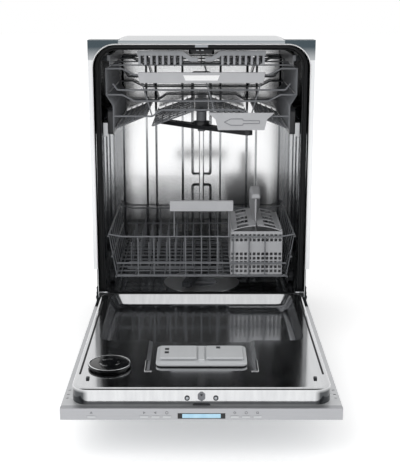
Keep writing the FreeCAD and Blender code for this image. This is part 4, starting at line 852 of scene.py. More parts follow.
grip = start_block("basket_grip", (basket_middle - GRIP_HALF, BLADE_FRONT - GRIP_LIP, BLADE_TOP - GRIP_SINK),
                   (basket_middle + GRIP_HALF, BLADE_BACK + GRIP_LIP, BLADE_TOP + GRIP_RISE))
move_corners(grip, (0, 0, -GRIP_DROP), lambda middle, vert: middle.y < BLADE_FRONT)
squeeze(grip, (GRIP_FLARE, 1, 1), (basket_middle, 0, 0),
        lambda middle, vert: middle.z < BLADE_TOP - GRIP_DROP / 2 or middle.y > BLADE_BACK)
close_piece(grip, light_plastic, "lower_rack", edge=0.0055, segments=5)


# Door tray: a folded galvanised sheet that carries the hinges, the springs' levers and the
# kitchen front that is screwed over it.
dress(zinc, "door_outer_panel")


# Door liner: bright stainless sheet drawn deep into a pan, with a sloped recess at the
# tub's side, a sunken bay for the dispenser and a rounded rim that meets the gasket.
LINER_HALF = 0.277
LINER_FRONT, LINER_TAIL = -0.597, 0.061
LINER_FOOT, LINER_TOP = 0.1323, 0.1703
LINER_FRONT_CORNER = 0.036
LINER_TAIL_CORNER = 0.024
LINER_RIM = 0.006
RECESS_HALF = 0.248
RECESS_FRONT, RECESS_TAIL = -0.310, 0.056
RECESS_FLOOR = 0.1443
RECESS_SIDE_RUN = 0.020
RECESS_TAIL_RUN = 0.030
RECESS_CORNER = 0.030
BAY_HALF = 0.126
BAY_FRONT = -0.510
BAY_FLOOR = 0.1643
BAY_RUN = 0.010
HATCH_HALF = 0.0943
HATCH_FRONT, HATCH_BACK = -0.4583, -0.3587
RECESS_OVER = 0.05
RECESS_ROUND = 0.010
BAY_CORNER = 0.014
BAY_LAP = 0.06
BAY_LENGTH_SHARE = 0.95
BAY_OVER = 0.0006
HATCH_CORNER = 0.006
HATCH_OVER = 0.01
CORNER_SHADE = "#4E5052"
SHADED_SIDES = (0.240, 0.252)
SHADED_FRONTS = (-0.560, -0.572)
SHADED_HEIGHTS = (0.1665, 0.158)
LINER_GRAIN = (0.012, 0.35, 0.05)
LINER_DARK = "#C0C1C3"
LINER_LIGHT = "#DADBDC"

# Drawn stainless: nearly a mirror, with soft streaks that run towards the tub.
liner_steel = rolled_metal("drawn bright stainless steel", LINER_DARK, LINER_LIGHT, LINER_GRAIN, 0.07, 0.15,
                           0.22, 0.0012)

# Its rounded front corners are painted dark too, a painted reflection of the unlit room that they mirror.
for side in (-1, 1):
    shade_towards(liner_steel, CORNER_SHADE, ("X", side * SHADED_SIDES[0], side * SHADED_SIDES[1]),
                  ("Y",) + SHADED_FRONTS, ("Z",) + SHADED_HEIGHTS)


def cut_away(piece, cutter):
    """Cut one closed block out of another, and delete the cutter."""
    bpy.ops.mesh.select_all(action="SELECT")
    bpy.ops.mesh.normals_make_consistent(inside=False)
    bpy.ops.object.mode_set(mode="OBJECT")
    bpy.ops.object.select_all(action="DESELECT")
    piece.select_set(True)
    bpy.context.view_layer.objects.active = piece
    hollow = piece.modifiers.new("hollow", "BOOLEAN")
    hollow.operation = "DIFFERENCE"
    hollow.solver = "EXACT"
    hollow.object = cutter
    bpy.ops.object.modifier_apply(modifier=hollow.name)
    bpy.ops.object.select_all(action="DESELECT")
    cutter.select_set(True)
    bpy.ops.object.delete()
    piece.select_set(True)
    bpy.context.view_layer.objects.active = piece


liner = start_block("door_liner_pan", (-LINER_HALF, LINER_FRONT, LINER_FOOT),
                    (LINER_HALF, LINER_TAIL, LINER_TOP))
round_edges(liner, LINER_FRONT_CORNER, 10, lambda middle, edge: upright(middle, edge) and middle.y < 0)
round_edges(liner, LINER_TAIL_CORNER, 8,
            lambda middle, edge: upright(middle, edge) and middle.y > LINER_TAIL - NEAR)
round_edges(liner, LINER_RIM, 6, lambda middle, edge: middle.z > LINER_TOP - TOUCH)
bpy.ops.object.mode_set(mode="OBJECT")

pocket = start_block("recess_cutter", (-RECESS_HALF, RECESS_FRONT, RECESS_FLOOR),
                     (RECESS_HALF, RECESS_TAIL, LINER_TOP + (LINER_TOP - RECESS_FLOOR) * RECESS_OVER))
round_edges(pocket, RECESS_CORNER, 8, upright)
pick(pocket, "verts", lambda middle, vert: middle.z < RECESS_FLOOR + NEAR)
recess_shrink = (RECESS_SIDE_RUN + RECESS_TAIL_RUN) / (RECESS_TAIL - RECESS_FRONT)
bpy.ops.transform.resize(value=(1 - RECESS_SIDE_RUN / RECESS_HALF, 1 - recess_shrink, 1),
                         center_override=(0, RECESS_FRONT + RECESS_SIDE_RUN / recess_shrink, 0))
round_edges(pocket, RECESS_ROUND, 5, lambda middle, edge: middle.z < RECESS_FLOOR + TOUCH)
cut_away(liner, pocket)

bay_back = RECESS_FRONT + BAY_LAP
bay = start_block("bay_cutter", (-BAY_HALF, BAY_FRONT, BAY_FLOOR), (BAY_HALF, bay_back, LINER_TOP + BAY_OVER))
round_edges(bay, BAY_CORNER, 6,
            lambda middle, edge: upright(middle, edge) and middle.y < BAY_FRONT + NEAR)
squeeze(bay, (1 - BAY_RUN / BAY_HALF, BAY_LENGTH_SHARE, 1), (0, bay_back, 0),
        lambda middle, vert: middle.z < BAY_FLOOR + NEAR)
cut_away(liner, bay)

hatch = start_block("hatch_cutter", (-HATCH_HALF, HATCH_FRONT, LINER_FOOT - HATCH_OVER),
                    (HATCH_HALF, HATCH_BACK, LINER_TOP + HATCH_OVER))
round_edges(hatch, HATCH_CORNER, 4, upright)
cut_away(liner, hatch)
bpy.ops.object.mode_set(mode="EDIT")
close_piece(liner, liner_steel, "door", edge=0.0045, segments=4, turn=24.0)
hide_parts("door_liner")


# Liner flange: the pan's edge is folded flat and screwed down on the door tray. Small slots
# near its front corners take the clips of the kitchen front.
FOLD_HALF = 0.298
FOLD_FRONT, FOLD_BACK = -0.600, 0.061
FOLD_LOW = 0.1311
SLOT_PLACES = (-0.519, -0.5435, -0.562)
SLOT_SIDE = 0.2895
SLOT_HALF_WIDTH = 0.0032
SLOT_HALF_LENGTH = 0.0014
SLOT_CORNER = 0.001
SLOT_OVER = 0.001
FOLD_CORNER = 0.004
PICKLED_DARK = "#D2D3D5"
PICKLED_LIGHT = "#E2E3E4"
PICKLED_GRAIN = (0.02, 0.02, 0.02)

# Pickled stainless: a dull silvery surface that scatters the room's light.
pickled_steel = rolled_metal("pickled stainless steel", PICKLED_DARK, PICKLED_LIGHT, PICKLED_GRAIN, 0.55, 0.68,
                             0.1, 0.001)
flange = start_block("liner_flange", (-FOLD_HALF, FOLD_FRONT, FOLD_LOW),
                     (FOLD_HALF, FOLD_BACK, LINER_FOOT))
round_edges(flange, FOLD_CORNER, 4, upright)
bpy.ops.object.mode_set(mode="OBJECT")
for side in (-SLOT_SIDE, SLOT_SIDE):
    for slot_y in SLOT_PLACES:
        slot_cutter = start_block("slot_cutter",
                                  (side - SLOT_HALF_WIDTH, slot_y - SLOT_HALF_LENGTH, FOLD_LOW - SLOT_OVER),
                                  (side + SLOT_HALF_WIDTH, slot_y + SLOT_HALF_LENGTH, LINER_FOOT + SLOT_OVER))
        round_edges(slot_cutter, SLOT_CORNER, 3, upright)
        cut_away(flange, slot_cutter)
bpy.ops.object.mode_set(mode="EDIT")
close_piece(flange, pickled_steel, "door", edge=0.0003, segments=2)


# Seal strips and corner clips: rubber strips are pushed into grooves along both edges of the
# pan, and small moulded clips hold the pan's front corners.
STRIP_SIDE = 0.2660
STRIP_HALF = 0.0022
STRIP_FRONT, STRIP_BACK = -0.520, -0.010
STRIP_PROUD = 0.0009
CLIP_SIDE = 0.246
CLIP_PLACE = -0.543
CLIP_HALF = 0.0035
CLIP_HALF_LENGTH = 0.0075
CLIP_RISE = 0.0040
CLIP_LEAN = 0.006
STRIP_ROUND = 0.0020
STRIP_SINK = 0.001

for side, side_name in SIDES:
    strip = start_block("seal_strip_%s" % side_name,
                        (side * STRIP_SIDE - STRIP_HALF, STRIP_FRONT, LINER_TOP - STRIP_SINK),
                        (side * STRIP_SIDE + STRIP_HALF, STRIP_BACK, LINER_TOP + STRIP_PROUD))
    round_edges(strip, STRIP_ROUND, 4, upright)
    close_piece(strip, rubber, "door", edge=0.0005)
    clip = start_block("corner_clip_%s" % side_name,
                       (side * CLIP_SIDE - CLIP_HALF, CLIP_PLACE - CLIP_HALF_LENGTH, LINER_TOP - STRIP_SINK),
                       (side * CLIP_SIDE + CLIP_HALF, CLIP_PLACE + CLIP_HALF_LENGTH, LINER_TOP + CLIP_RISE))
    move_corners(clip, (0, -CLIP_LEAN, 0),
                 lambda middle, vert: middle.z > LINER_TOP and middle.y > CLIP_PLACE)
    close_piece(clip, black_plastic, "door", edge=0.0008)


# Tail covers: black mouldings that close the pan's rounded tail corners beside the hinges,
# where they are pressed in from above.
COVER_INNER, COVER_OUTER = 0.2535, 0.2768
COVER_FRONT, COVER_BACK = 0.034, 0.0608
COVER_TOP = 0.160
COVER_DROP = 0.012

for side, side_name in SIDES:
    x0, x1 = sorted((side * COVER_INNER, side * COVER_OUTER))
    cover = start_block("tail_cover_%s" % side_name, (x0, COVER_FRONT, LINER_FOOT),
                        (x1, COVER_BACK, COVER_TOP))
    move_corners(cover, (0, 0, -COVER_DROP),
                 lambda middle, vert: middle.z > COVER_TOP - NEAR and middle.y > COVER_BACK - NEAR)
    close_piece(cover, black_plastic, "door", edge=0.0020)


# Bay corners: two L-shaped beads of the pan's own sheet, pressed up where the bay's sides end
# to stiffen the rim there.
CORNER_SIDE = 0.1265
CORNER_WIDTH = 0.0065
CORNER_FRONT, CORNER_BACK = -0.5065, -0.4300
CORNER_FOOT = 0.010
CORNER_RISE = 0.0016
CORNER_SINK = 0.001
CORNER_SLOPE = 0.010

for side, side_name in SIDES:
    x0, x1 = sorted((side * CORNER_SIDE, side * (CORNER_SIDE - CORNER_WIDTH)))
    corner = start_block("bay_corner_%s" % side_name, (x0, CORNER_FRONT, BAY_FLOOR - CORNER_SINK),
                         (x1, CORNER_BACK, LINER_TOP + CORNER_RISE))
    slice_across(Vector((0, 1, 0)), (CORNER_FRONT + CORNER_WIDTH,))
    pick(corner, "faces",
         lambda middle, face: face.normal.x * side < -0.9 and middle.y < CORNER_FRONT + CORNER_WIDTH)
    extrude(-side * CORNER_FOOT, 0, 0)
    move_corners(corner, (0, -CORNER_SLOPE, 0),
                 lambda middle, vert: middle.y > CORNER_BACK - NEAR and middle.z > LINER_TOP)
    close_piece(corner, liner_steel, "door", edge=0.0018, segments=4)


# Latch and pan screws: the latch is moulded and set in the pan's front wall, between two ring
# headed screws.
LATCH_CHAMFER = 0.0055
SLIT_HALF = 0.019
SLIT_RISE = 0.0030
SCREW_SPREAD = 0.0304
SCREW_HEIGHT = 0.1478
SCREW_RADIUS = 0.0056
SCREW_PROUD = 0.0016
SCREW_RING, SCREW_LIP = 0.34, 0.12
SCREW_BORE, SCREW_BUTTON = 0.9, 0.3
SCREW_SIDES = 28
CORE_HALF = 0.0030
CORE_PROUD, CORE_ROUND = 0.8, 0.6
LATCH_POINT = 0.3
LATCH_BORDER = 0.0022
LATCH_HOLLOW = 0.0012
EYE_HALF = 0.003
EYE_FRONT, EYE_BACK = 0.0004, 0.0030
EYE_LOW, EYE_WAIST, EYE_HIGH = 0.0085, 0.006, 0.0040
EYE_POINT = 0.4
SLIT_POINT = 0.8
SLIT_FRONT, SLIT_BACK, SLIT_SINK = 0.0028, 0.001, 0.0003


def runs_back(middle, edge):
    """Say whether an edge runs from the front to the back."""
    return abs((edge.verts[0].co - edge.verts[1].co).normalized().y) > 0.9


latch_low, latch_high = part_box("door_latch")
latch = start_block("latch_moulding", latch_low, latch_high)
round_edges(latch, LATCH_CHAMFER, 1, runs_back)
squeeze(latch, (LATCH_POINT, 1, 1), MIDDLE, lambda middle, vert: middle.z < latch_low[2] + NEAR)
sink_face(latch, LATCH_BORDER, (0, LATCH_HOLLOW, 0), facing(1, -1))
close_piece(latch, grey_plastic, "door", edge=0.0005)
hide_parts("door_latch")
# The eye is a black block in the latch's face, painted shade for the dark hole there.
eye = start_block("latch_eye", (-EYE_HALF, latch_low[1] + EYE_FRONT, latch_high[2] - EYE_LOW),
                  (EYE_HALF, latch_low[1] + EYE_BACK, latch_high[2] - EYE_HIGH))
squeeze(eye, (EYE_POINT, 1, 1), MIDDLE, lambda middle, vert: middle.z < latch_high[2] - EYE_WAIST)
close_piece(eye, black_plastic, "door", edge=0.0004)
slit = start_block("latch_slit", (-SLIT_HALF, LINER_FRONT - SLIT_FRONT, LINER_FOOT - SLIT_SINK),
                   (SLIT_HALF, LINER_FRONT + SLIT_BACK, LINER_FOOT + SLIT_RISE))
squeeze(slit, (SLIT_POINT, 1, 1), MIDDLE,
        lambda middle, vert: middle.z > LINER_FOOT + NEAR and middle.y < LINER_FRONT)
close_piece(slit, black_plastic, "door", edge=0.0004)
for side, side_name in SIDES:
    screw_x = side * SCREW_SPREAD
    bpy.ops.object.select_all(action="DESELECT")
    bpy.ops.mesh.primitive_cylinder_add(vertices=SCREW_SIDES, radius=SCREW_RADIUS, depth=2 * SCREW_PROUD,
                                        location=(screw_x, LINER_FRONT, SCREW_HEIGHT),
                                        rotation=(math.pi / 2, 0, 0))
    screw = open_piece("ring_screw_%s" % side_name)
    sink_face(screw, SCREW_RADIUS * SCREW_RING, (0, SCREW_PROUD * SCREW_BORE, 0), facing(1, -1))
    bpy.ops.mesh.inset(thickness=SCREW_RADIUS * SCREW_LIP)
    extrude(0, -SCREW_PROUD * SCREW_BUTTON, 0)
    close_piece(screw, blacked_steel, "door", edge=0.0004)
    core = start_block("screw_core_%s" % side_name,
                       (screw_x - CORE_HALF, LINER_FRONT - SCREW_PROUD * CORE_PROUD, SCREW_HEIGHT - CORE_HALF),
                       (screw_x + CORE_HALF, LINER_FRONT, SCREW_HEIGHT + CORE_HALF))
    round_edges(core, CORE_HALF * CORE_ROUND, 4, runs_back)
    close_piece(core, zinc, "door", edge=0.0002, segments=2)


# Dispenser: a moulded tray with a well for detergent and a filler for rinse aid, let into
# the pan's bay and painted silver. Its two lids turn on pins at their back edge.
TRAY_FOOT = 0.1668
SEAL_INSET = 0.0006
TRAY_CORNER = 0.014
RIM_STEP = 0.0016
LID_EDGE = 0.0011
SILVER_DARK = "#C6C8CA"
SILVER_LIGHT = "#D8DADC"
VENT_HALF_WIDTH = 0.0048
VENT_HALF_LENGTH = 0.0055
VENT_LOW, VENT_HIGH = 0.0028, 0.0040
VENT_PLACES = ((-0.080, -0.3826), (-0.080, -0.4043), (0.0388, -0.3728))
VENT_BORDER, VENT_HOLLOW = 0.0011, 0.0002
FLAKE_SIZE = 0.0007
RIM_RISE = 0.002
RIM_WIDTH = 0.007
FOOT_INSET = 0.0105
CUTTER_OVER = 0.01
WELL_LEFT, WELL_RIGHT = -0.084, -0.022
WELL_FRONT, WELL_BACK = -0.428, -0.370
WELL_DEPTH = 0.022
WELL_CORNER, WELL_ROUND = 0.010, 0.006
FILLER_LEFT, FILLER_RIGHT = 0.039, 0.067
FILLER_FRONT, FILLER_BACK = -0.413, -0.385
FILLER_DEPTH = 0.010
FILLER_CORNER = 0.0138
SEAL_WIDTH = 0.004
RIB_HALF = 0.0072
RIB_FRONT, RIB_BACK = 0.004, 0.002
RIB_SINK, RIB_RISE = 0.001, 0.0022
LID_MARGIN = 0.0029
LID_SHEET = 0.003
LID_LIP, LID_STEP = 0.0052, 0.0105
LID_BORDER, LID_DOME = 0.0016, 0.0004

# Silver paint: a fine metallic flake in clear lacquer over a grey moulding.
silver_paint, tree, shader, place = new_material("silver painted moulding")
flake = add_node(tree, "ShaderNodeTexVoronoi", {"Vector": place, "Scale": 1 / FLAKE_SIZE})
flake_tint = add_node(tree, "ShaderNodeMix", {0: flake.outputs["Distance"], 6: linear(SILVER_LIGHT),
                                              7: linear(SILVER_DARK)}, data_type="RGBA")
flake_gloss = add_node(tree, "ShaderNodeMapRange", {"Value": flake.outputs["Distance"], "To Min": 0.30,
                                                    "To Max": 0.42})
set_sockets(tree, shader, {"Base Color": flake_tint.outputs[2], "Metallic": 0.25, "Coat Weight": 0.25,
                           "Coat Roughness": 0.12, "Roughness": flake_gloss.outputs["Result"]})

tray_low, tray_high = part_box("dispenser_body")
lid_low, lid_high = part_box("detergent_lid")
rim_top = LINER_TOP + RIM_RISE
tray = start_block("dispenser_tray", (tray_low[0], tray_low[1], TRAY_FOOT),
                   (tray_high[0], tray_high[1], rim_top))
round_edges(tray, TRAY_CORNER, 8, upright)
slope_face(tray, RIM_WIDTH, (0, 0, -RIM_STEP), facing(2, 1))
sink_face(tray, FOOT_INSET, (0, 0, tray_low[2] - TRAY_FOOT), facing(2, -1))
bpy.ops.object.mode_set(mode="OBJECT")
well = start_block("well_cutter", (WELL_LEFT, WELL_FRONT, rim_top - WELL_DEPTH),
                   (WELL_RIGHT, WELL_BACK, rim_top + CUTTER_OVER))
round_edges(well, WELL_CORNER, 5, upright)
round_edges(well, WELL_ROUND, 4, lambda middle, edge: middle.z < rim_top - WELL_DEPTH + NEAR)
cut_away(tray, well)
filler = start_block("filler_cutter", (FILLER_LEFT, FILLER_FRONT, LINER_TOP - FILLER_DEPTH),
                     (FILLER_RIGHT, FILLER_BACK, rim_top + CUTTER_OVER))
round_edges(filler, FILLER_CORNER, 8, upright)
cut_away(tray, filler)
bpy.ops.object.mode_set(mode="EDIT")
close_piece(tray, silver_paint, "door", edge=0.0012)
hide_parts("dispenser_body")
seal = start_block("dispenser_seal", (tray_low[0] + SEAL_INSET, tray_low[1] + SEAL_INSET, BAY_FLOOR + TOUCH),
                   (tray_high[0] - SEAL_INSET, tray_high[1] - SEAL_INSET, TRAY_FOOT))
round_edges(seal, TRAY_CORNER, 8, upright)
pick(seal, "faces", lambda middle, face: abs(face.normal.z) > 0.9)
bpy.ops.mesh.inset(thickness=SEAL_WIDTH)
bpy.ops.mesh.bridge_edge_loops()
close_piece(seal, rubber, "door")
rib = start_block("dispenser_rib", (-RIB_HALF, lid_low[1] - RIB_FRONT, rim_top - RIM_STEP - RIB_SINK),
                  (RIB_HALF, lid_high[1] + RIB_BACK, lid_low[2] + RIB_RISE))
close_piece(rib, silver_paint, "door", edge=0.0014)
for node, body, number in (("detergent_lid", "detergent_flap", 1), ("rinse_aid_lid", "rinse_aid_flap", 2)):
    lid_low, lid_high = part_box(node)
    lid_inner = min(abs(lid_low[0]), abs(lid_high[0])) + LID_MARGIN
    lid_outer = max(abs(lid_low[0]), abs(lid_high[0])) - LID_MARGIN
    x0, x1 = (-lid_outer, -lid_inner) if lid_low[0] < 0 else (lid_inner, lid_outer)
    lid = start_block("dispenser_lid_%d" % number, (x0, lid_low[1], lid_low[2]),
                      (x1, lid_high[1], lid_low[2] + LID_SHEET))
    slice_across(Vector((0, 1, 0)), (lid_low[1] + LID_LIP, lid_low[1] + LID_STEP))
    pick(lid, "faces", lambda middle, face: face.normal.z > 0.9 and middle.y < lid_low[1] + LID_LIP)
    extrude(0, 0, lid_high[2] - lid_low[2] - LID_SHEET)
    slope_face(lid, LID_BORDER, (0, 0, LID_DOME),
               lambda middle, face: face.normal.z > 0.9 and middle.y > lid_low[1] + LID_STEP)
    close_piece(lid, silver_paint, body, edge=LID_EDGE)
    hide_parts(node)
for number, (vent_x, vent_y) in enumerate(VENT_PLACES, start=1):
    lid_body = "detergent_flap" if vent_x < 0 else "rinse_aid_flap"
    vent = start_block("lid_vent_%d" % number,
                       (vent_x - VENT_HALF_WIDTH, vent_y - VENT_HALF_LENGTH, lid_low[2] + VENT_LOW),
                       (vent_x + VENT_HALF_WIDTH, vent_y + VENT_HALF_LENGTH, lid_low[2] + VENT_HIGH))
    sink_face(vent, VENT_BORDER, (0, 0, -VENT_HOLLOW), facing(2, 1))
    close_piece(vent, dark_plastic, lid_body, edge=0.0003, segments=2)


# Vent cap: a glossy black moulding with a bright ring round its edge, turned into the door's
# vent. Three bright curved vanes are let into its top.
CAP_PLACE = (-0.205, -0.475)
CAP_RADIUS = 0.048
CAP_NECK = 0.041
CAP_LOW, CAP_TOP = 0.1743, 0.1803
CAP_DEPTH_BELOW = 0.018
CAP_LIP = 0.0015
CAP_STEPS = ((0.0045, -0.0007), (0.004, 0.0012), (0.020, 0.0005))
ROUND_SIDES = 64
RING_RADIUS = 0.0472
RING_SINK, RING_WIDTH, RING_RISE = 0.0022, 0.0026, 0.0018
VANE_COUNT = 3
VANE_RADIUS = 0.021
VANE_SIZE = (0.0045, 0.0008, 1)
VANE_SINK = 0.0003
VANE_START, VANE_SWEEP = 20, 62
GLOSS_DARK = "#08090A"
GLOSS_LIGHT = "#121315"
CHROME_DARK = "#D6D8DA"
CHROME_LIGHT = "#F1F2F3"
CHROME_CLOUD = (0.02, 0.02, 0.02)

# Gloss black moulding: deep black with a wet shine and faint polishing swirls.
gloss_black = moulded_plastic("gloss black moulding", GLOSS_DARK, GLOSS_LIGHT, 0.03, 0.004, 0.06, 0.13)

# Chrome: bright plated edge with a slight cloudiness.
chrome = rolled_metal("chrome plate", CHROME_DARK, CHROME_LIGHT, CHROME_CLOUD, 0.05, 0.12, 0.05, 0.0005)

bpy.ops.object.select_all(action="DESELECT")
bpy.ops.mesh.primitive_cylinder_add(vertices=ROUND_SIDES, radius=CAP_NECK, depth=CAP_DEPTH_BELOW,
                                    location=CAP_PLACE + (CAP_LOW - CAP_DEPTH_BELOW / 2,))
cap = open_piece("vent_cap")
pick(cap, "faces", facing(2, 1))
extrude(0, 0, TOUCH)
cap_scale = CAP_RADIUS / CAP_NECK
bpy.ops.transform.resize(value=(cap_scale, cap_scale, 1), center_override=CAP_PLACE + (0,))
extrude(0, 0, CAP_TOP - CAP_LOW - CAP_LIP)
for margin, rise in CAP_STEPS:
    bpy.ops.mesh.inset(thickness=margin)
    bpy.ops.transform.translate(value=(0, 0, rise))
close_piece(cap, gloss_black, "door", edge=0.0008, turn=25.0)
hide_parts("vent_cover")

bpy.ops.object.select_all(action="DESELECT")
bpy.ops.mesh.primitive_circle_add(vertices=ROUND_SIDES, radius=RING_RADIUS, fill_type="NGON",
                                  location=CAP_PLACE + (CAP_TOP - RING_SINK,))
ring = open_piece("vent_ring")
raise_outline(ring, RING_WIDTH, (0, 0, RING_RISE))
close_piece(ring, chrome, "door", edge=0.0006, segments=4)

for number in range(VANE_COUNT):
    start = math.radians(360 / VANE_COUNT * number + VANE_START)
    vane_x = CAP_PLACE[0] + VANE_RADIUS * math.cos(start)
    vane_y = CAP_PLACE[1] + VANE_RADIUS * math.sin(start)
    bpy.ops.object.select_all(action="DESELECT")
    bpy.ops.mesh.primitive_plane_add(size=1, location=(vane_x, vane_y, CAP_TOP - VANE_SINK),
                                     rotation=(math.pi / 2, 0, start))
    vane = open_piece("vent_vane_%d" % (number + 1), VANE_SIZE)
    bpy.ops.mesh.select_all(action="SELECT")
    bpy.ops.mesh.spin(steps=10, angle=math.radians(VANE_SWEEP), center=CAP_PLACE + (CAP_TOP,), axis=(0, 0, 1))
    bpy.ops.mesh.select_all(action="SELECT")
    bpy.ops.mesh.remove_doubles(threshold=TOUCH / 10)
    close_piece(vane, chrome, "door", edge=0.0002, segments=2)


# Control strip: a brushed stainless angle across the door's top edge, with seven pierced keys
# and a display window. A small printed sign stands over each key.
PANEL_DARK = "#ABACAF"
PANEL_LIGHT = "#C3C4C7"
KEY_DARK = "#C2C4C6"
KEY_LIGHT = "#D2D4D6"
BRUSH = (0.08, 0.0006, 0.0006)
SIGN_HEIGHT = 0.1228
SIGN_RADIUS = 0.0033
SIGN_LINE = 0.0009
SIGN_PROUD = 0.00015
INK_DARK = "#4B4D50"
INK_LIGHT = "#5A5C60"
# Each sign's place along the strip, its count of corners and its turn.
SIGNS = ((-0.232, 3, 0), (-0.121, 3, 90), (-0.097, 3, -90), (-0.073, 12, 0), (0.070, 4, 0), (0.094, 6, 0),
         (0.118, 4, 45))

# Brushed stainless: straight fine streaks along the strip, with a broad soft shine.
brushed_steel = rolled_metal("brushed stainless steel", PANEL_DARK, PANEL_LIGHT, BRUSH, 0.46, 0.62, 0.3, 0.001)
dress(brushed_steel, "control_panel")

# Key steel: the same brushing, a little paler.
key_steel = rolled_metal("brushed stainless steel key", KEY_DARK, KEY_LIGHT, BRUSH, 0.46, 0.62, 0.3, 0.001)
dress(key_steel, *["button_%d" % number for number in range(1, 8)])

# Sign print: thin dark grey ink on the steel.
sign_ink = moulded_plastic("dark grey print", INK_DARK, INK_LIGHT, 0.003, 0.0006, 0.5, 0.6)
strip_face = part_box("control_panel")[0][1]
for number, (sign_x, corners, sign_turn) in enumerate(SIGNS, start=1):
    bpy.ops.object.select_all(action="DESELECT")
    bpy.ops.mesh.primitive_circle_add(vertices=corners, radius=SIGN_RADIUS, fill_type="NGON",
                                      location=(sign_x, strip_face, SIGN_HEIGHT),
                                      rotation=(math.pi / 2, math.radians(sign_turn), 0))
    sign = open_piece("key_sign_%d" % number)
    raise_outline(sign, SIGN_LINE, (0, -SIGN_PROUD, 0))
    close_piece(sign, sign_ink, "door")


# Display: a gloss black window, clipped into the strip from behind, with a pale blue liquid
# crystal panel in its middle.
LCD_HALF = 0.0405
LCD_LOW, LCD_HIGH = 0.1108, 0.1202
LCD_PROUD, LCD_SINK = 0.0003, 0.0010
LCD_CORNER = 0.0008
LCD_CLOUD = 0.02
LCD_DARK = "#86B2CB"
LCD_LIGHT = "#B4D2E0"

dress(gloss_black, "display_window")

# Liquid crystal: pale blue, lit from behind, with soft cloudy changes of tone.
lcd, tree, shader, place = new_material("lit liquid crystal panel")
glow = add_node(tree, "ShaderNodeTexNoise", {"Vector": place, "Scale": 1 / LCD_CLOUD, "Detail": 1.0})
glow_tint = add_node(tree, "ShaderNodeMix", {0: glow.outputs["Fac"], 6: linear(LCD_DARK), 7: linear(LCD_LIGHT)},
                     data_type="RGBA")
set_sockets(tree, shader, {"Base Color": glow_tint.outputs[2], "Roughness": 0.18,
                           "Emission Color": glow_tint.outputs[2], "Emission Strength": 0.25})
window_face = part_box("display_window")[0][1]
panel = start_block("display_panel", (-LCD_HALF, window_face - LCD_PROUD, LCD_LOW),
                    (LCD_HALF, window_face + LCD_SINK, LCD_HIGH))
round_edges(panel, LCD_CORNER, 3, runs_back)
close_piece(panel, lcd, "door", edge=0.0001, segments=1)


# Floor and studio: a plain white floor in a white room, with one broad soft lamp in front.
# They are only the stage.
FLOOR_SIZE = 40.0
FLOOR_COLOUR = "#F4F4F4"
FLOOR_LIFT = 0.34
ROOM_LIGHT = 0.82
UNLIT_FRONT = 0.03
LAMP_PLACE = (-1.2, -2.6, 2.6)
LAMP_SIZE = 2.2
LAMP_POWER = 42.0
LAMP_AIM = (0, 0, 0.4)
# The room's unlit part in front: on each axis of a reflection's way, where it begins and is full.
UNLIT_LIMITS = (("Y", -0.30, -0.60), ("Z", 0.18, 0.22), ("Z", 0.92, 0.80))


def shown_rays(tree, ray):
    """Mark the rays that show the studio as it is: the camera's, and those by way of metal or glass."""
    shown = ray["Is Camera Ray"]
    for kind in ("Is Glossy Ray", "Is Transmission Ray"):
        shown = add_node(tree, "ShaderNodeMath", {0: shown, 1: ray[kind]}, operation="MAXIMUM").outputs[0]
    return shown


bpy.ops.object.select_all(action="DESELECT")
bpy.ops.mesh.primitive_plane_add(size=FLOOR_SIZE, location=(0, 0, 0))
floor = bpy.context.object
floor.name = "studio_floor"
floor_paint, tree, shader, place = new_material("matt white floor paint")
ray = add_node(tree, "ShaderNodeLightPath", {}).outputs
shown = shown_rays(tree, ray)
lift = add_node(tree, "ShaderNodeMath", {0: shown, 1: FLOOR_LIFT}, operation="MULTIPLY")
set_sockets(tree, shader, {"Base Color": linear(FLOOR_COLOUR), "Roughness": 0.9, "Specular IOR Level": 0.0,
                           "Emission Color": (1, 1, 1, 1), "Emission Strength": lift.outputs[0]})
floor.data.materials.append(floor_paint)

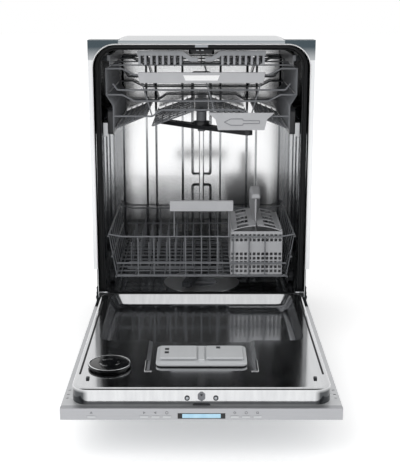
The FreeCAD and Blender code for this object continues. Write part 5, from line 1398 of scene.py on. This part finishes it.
world = bpy.data.worlds.new("white studio")
world.use_nodes = True
bpy.context.scene.world = world
tree = world.node_tree
ray = add_node(tree, "ShaderNodeLightPath", {}).outputs
shown = shown_rays(tree, ray)
way = add_node(tree, "ShaderNodeTexCoord", {}).outputs["Generated"]
aim = add_node(tree, "ShaderNodeSeparateXYZ", {"Vector": way})
unlit = ray["Is Glossy Ray"]
for axis, begin, full in UNLIT_LIMITS:
    run = add_node(tree, "ShaderNodeMapRange",
                   {"Value": aim.outputs[axis], "From Min": begin, "From Max": full}).outputs["Result"]
    unlit = add_node(tree, "ShaderNodeMath", {0: unlit, 1: run}, operation="MULTIPLY").outputs[0]
dim = add_node(tree, "ShaderNodeMapRange", {"Value": unlit, "To Min": 1.0, "To Max": UNLIT_FRONT})
room = add_node(tree, "ShaderNodeMapRange", {"Value": shown, "To Min": ROOM_LIGHT, "To Max": 1.0})
glow = add_node(tree, "ShaderNodeMath", {0: room.outputs["Result"], 1: dim.outputs["Result"]},
                operation="MULTIPLY")
set_sockets(tree, tree.nodes["Background"], {"Color": (1, 1, 1, 1), "Strength": glow.outputs[0]})

lamp_data = bpy.data.lights.new("soft box", "AREA")
lamp_data.shape = "SQUARE"
lamp_data.size = LAMP_SIZE
lamp_data.energy = LAMP_POWER
lamp = bpy.data.objects.new("soft box", lamp_data)
lamp.location = LAMP_PLACE
lamp.rotation_euler = (Vector(LAMP_AIM) - Vector(LAMP_PLACE)).to_track_quat("-Z", "Y").to_euler()
lamp.visible_glossy = False
bpy.context.scene.collection.objects.link(lamp)

LENS_PIXELS = 965.9
FRAME_HEIGHT = 462
CAMERA_TILT = 13.93
CAMERA_PLACE = (0.0, -2.496, 0.983)
CAMERA_CENTRE_PIXELS = 1.5

camera_data = bpy.data.cameras.new("photo camera")
camera_data.sensor_width = 36.0
camera_data.lens = LENS_PIXELS * camera_data.sensor_width / FRAME_HEIGHT
camera_data.shift_x = -CAMERA_CENTRE_PIXELS / FRAME_HEIGHT
camera = bpy.data.objects.new("photo camera", camera_data)
camera.location = CAMERA_PLACE
camera.rotation_euler = (math.radians(90 - CAMERA_TILT), 0, 0)
bpy.context.scene.collection.objects.link(camera)
bpy.context.scene.camera = camera
bpy.context.scene.view_settings.view_transform = "Standard"
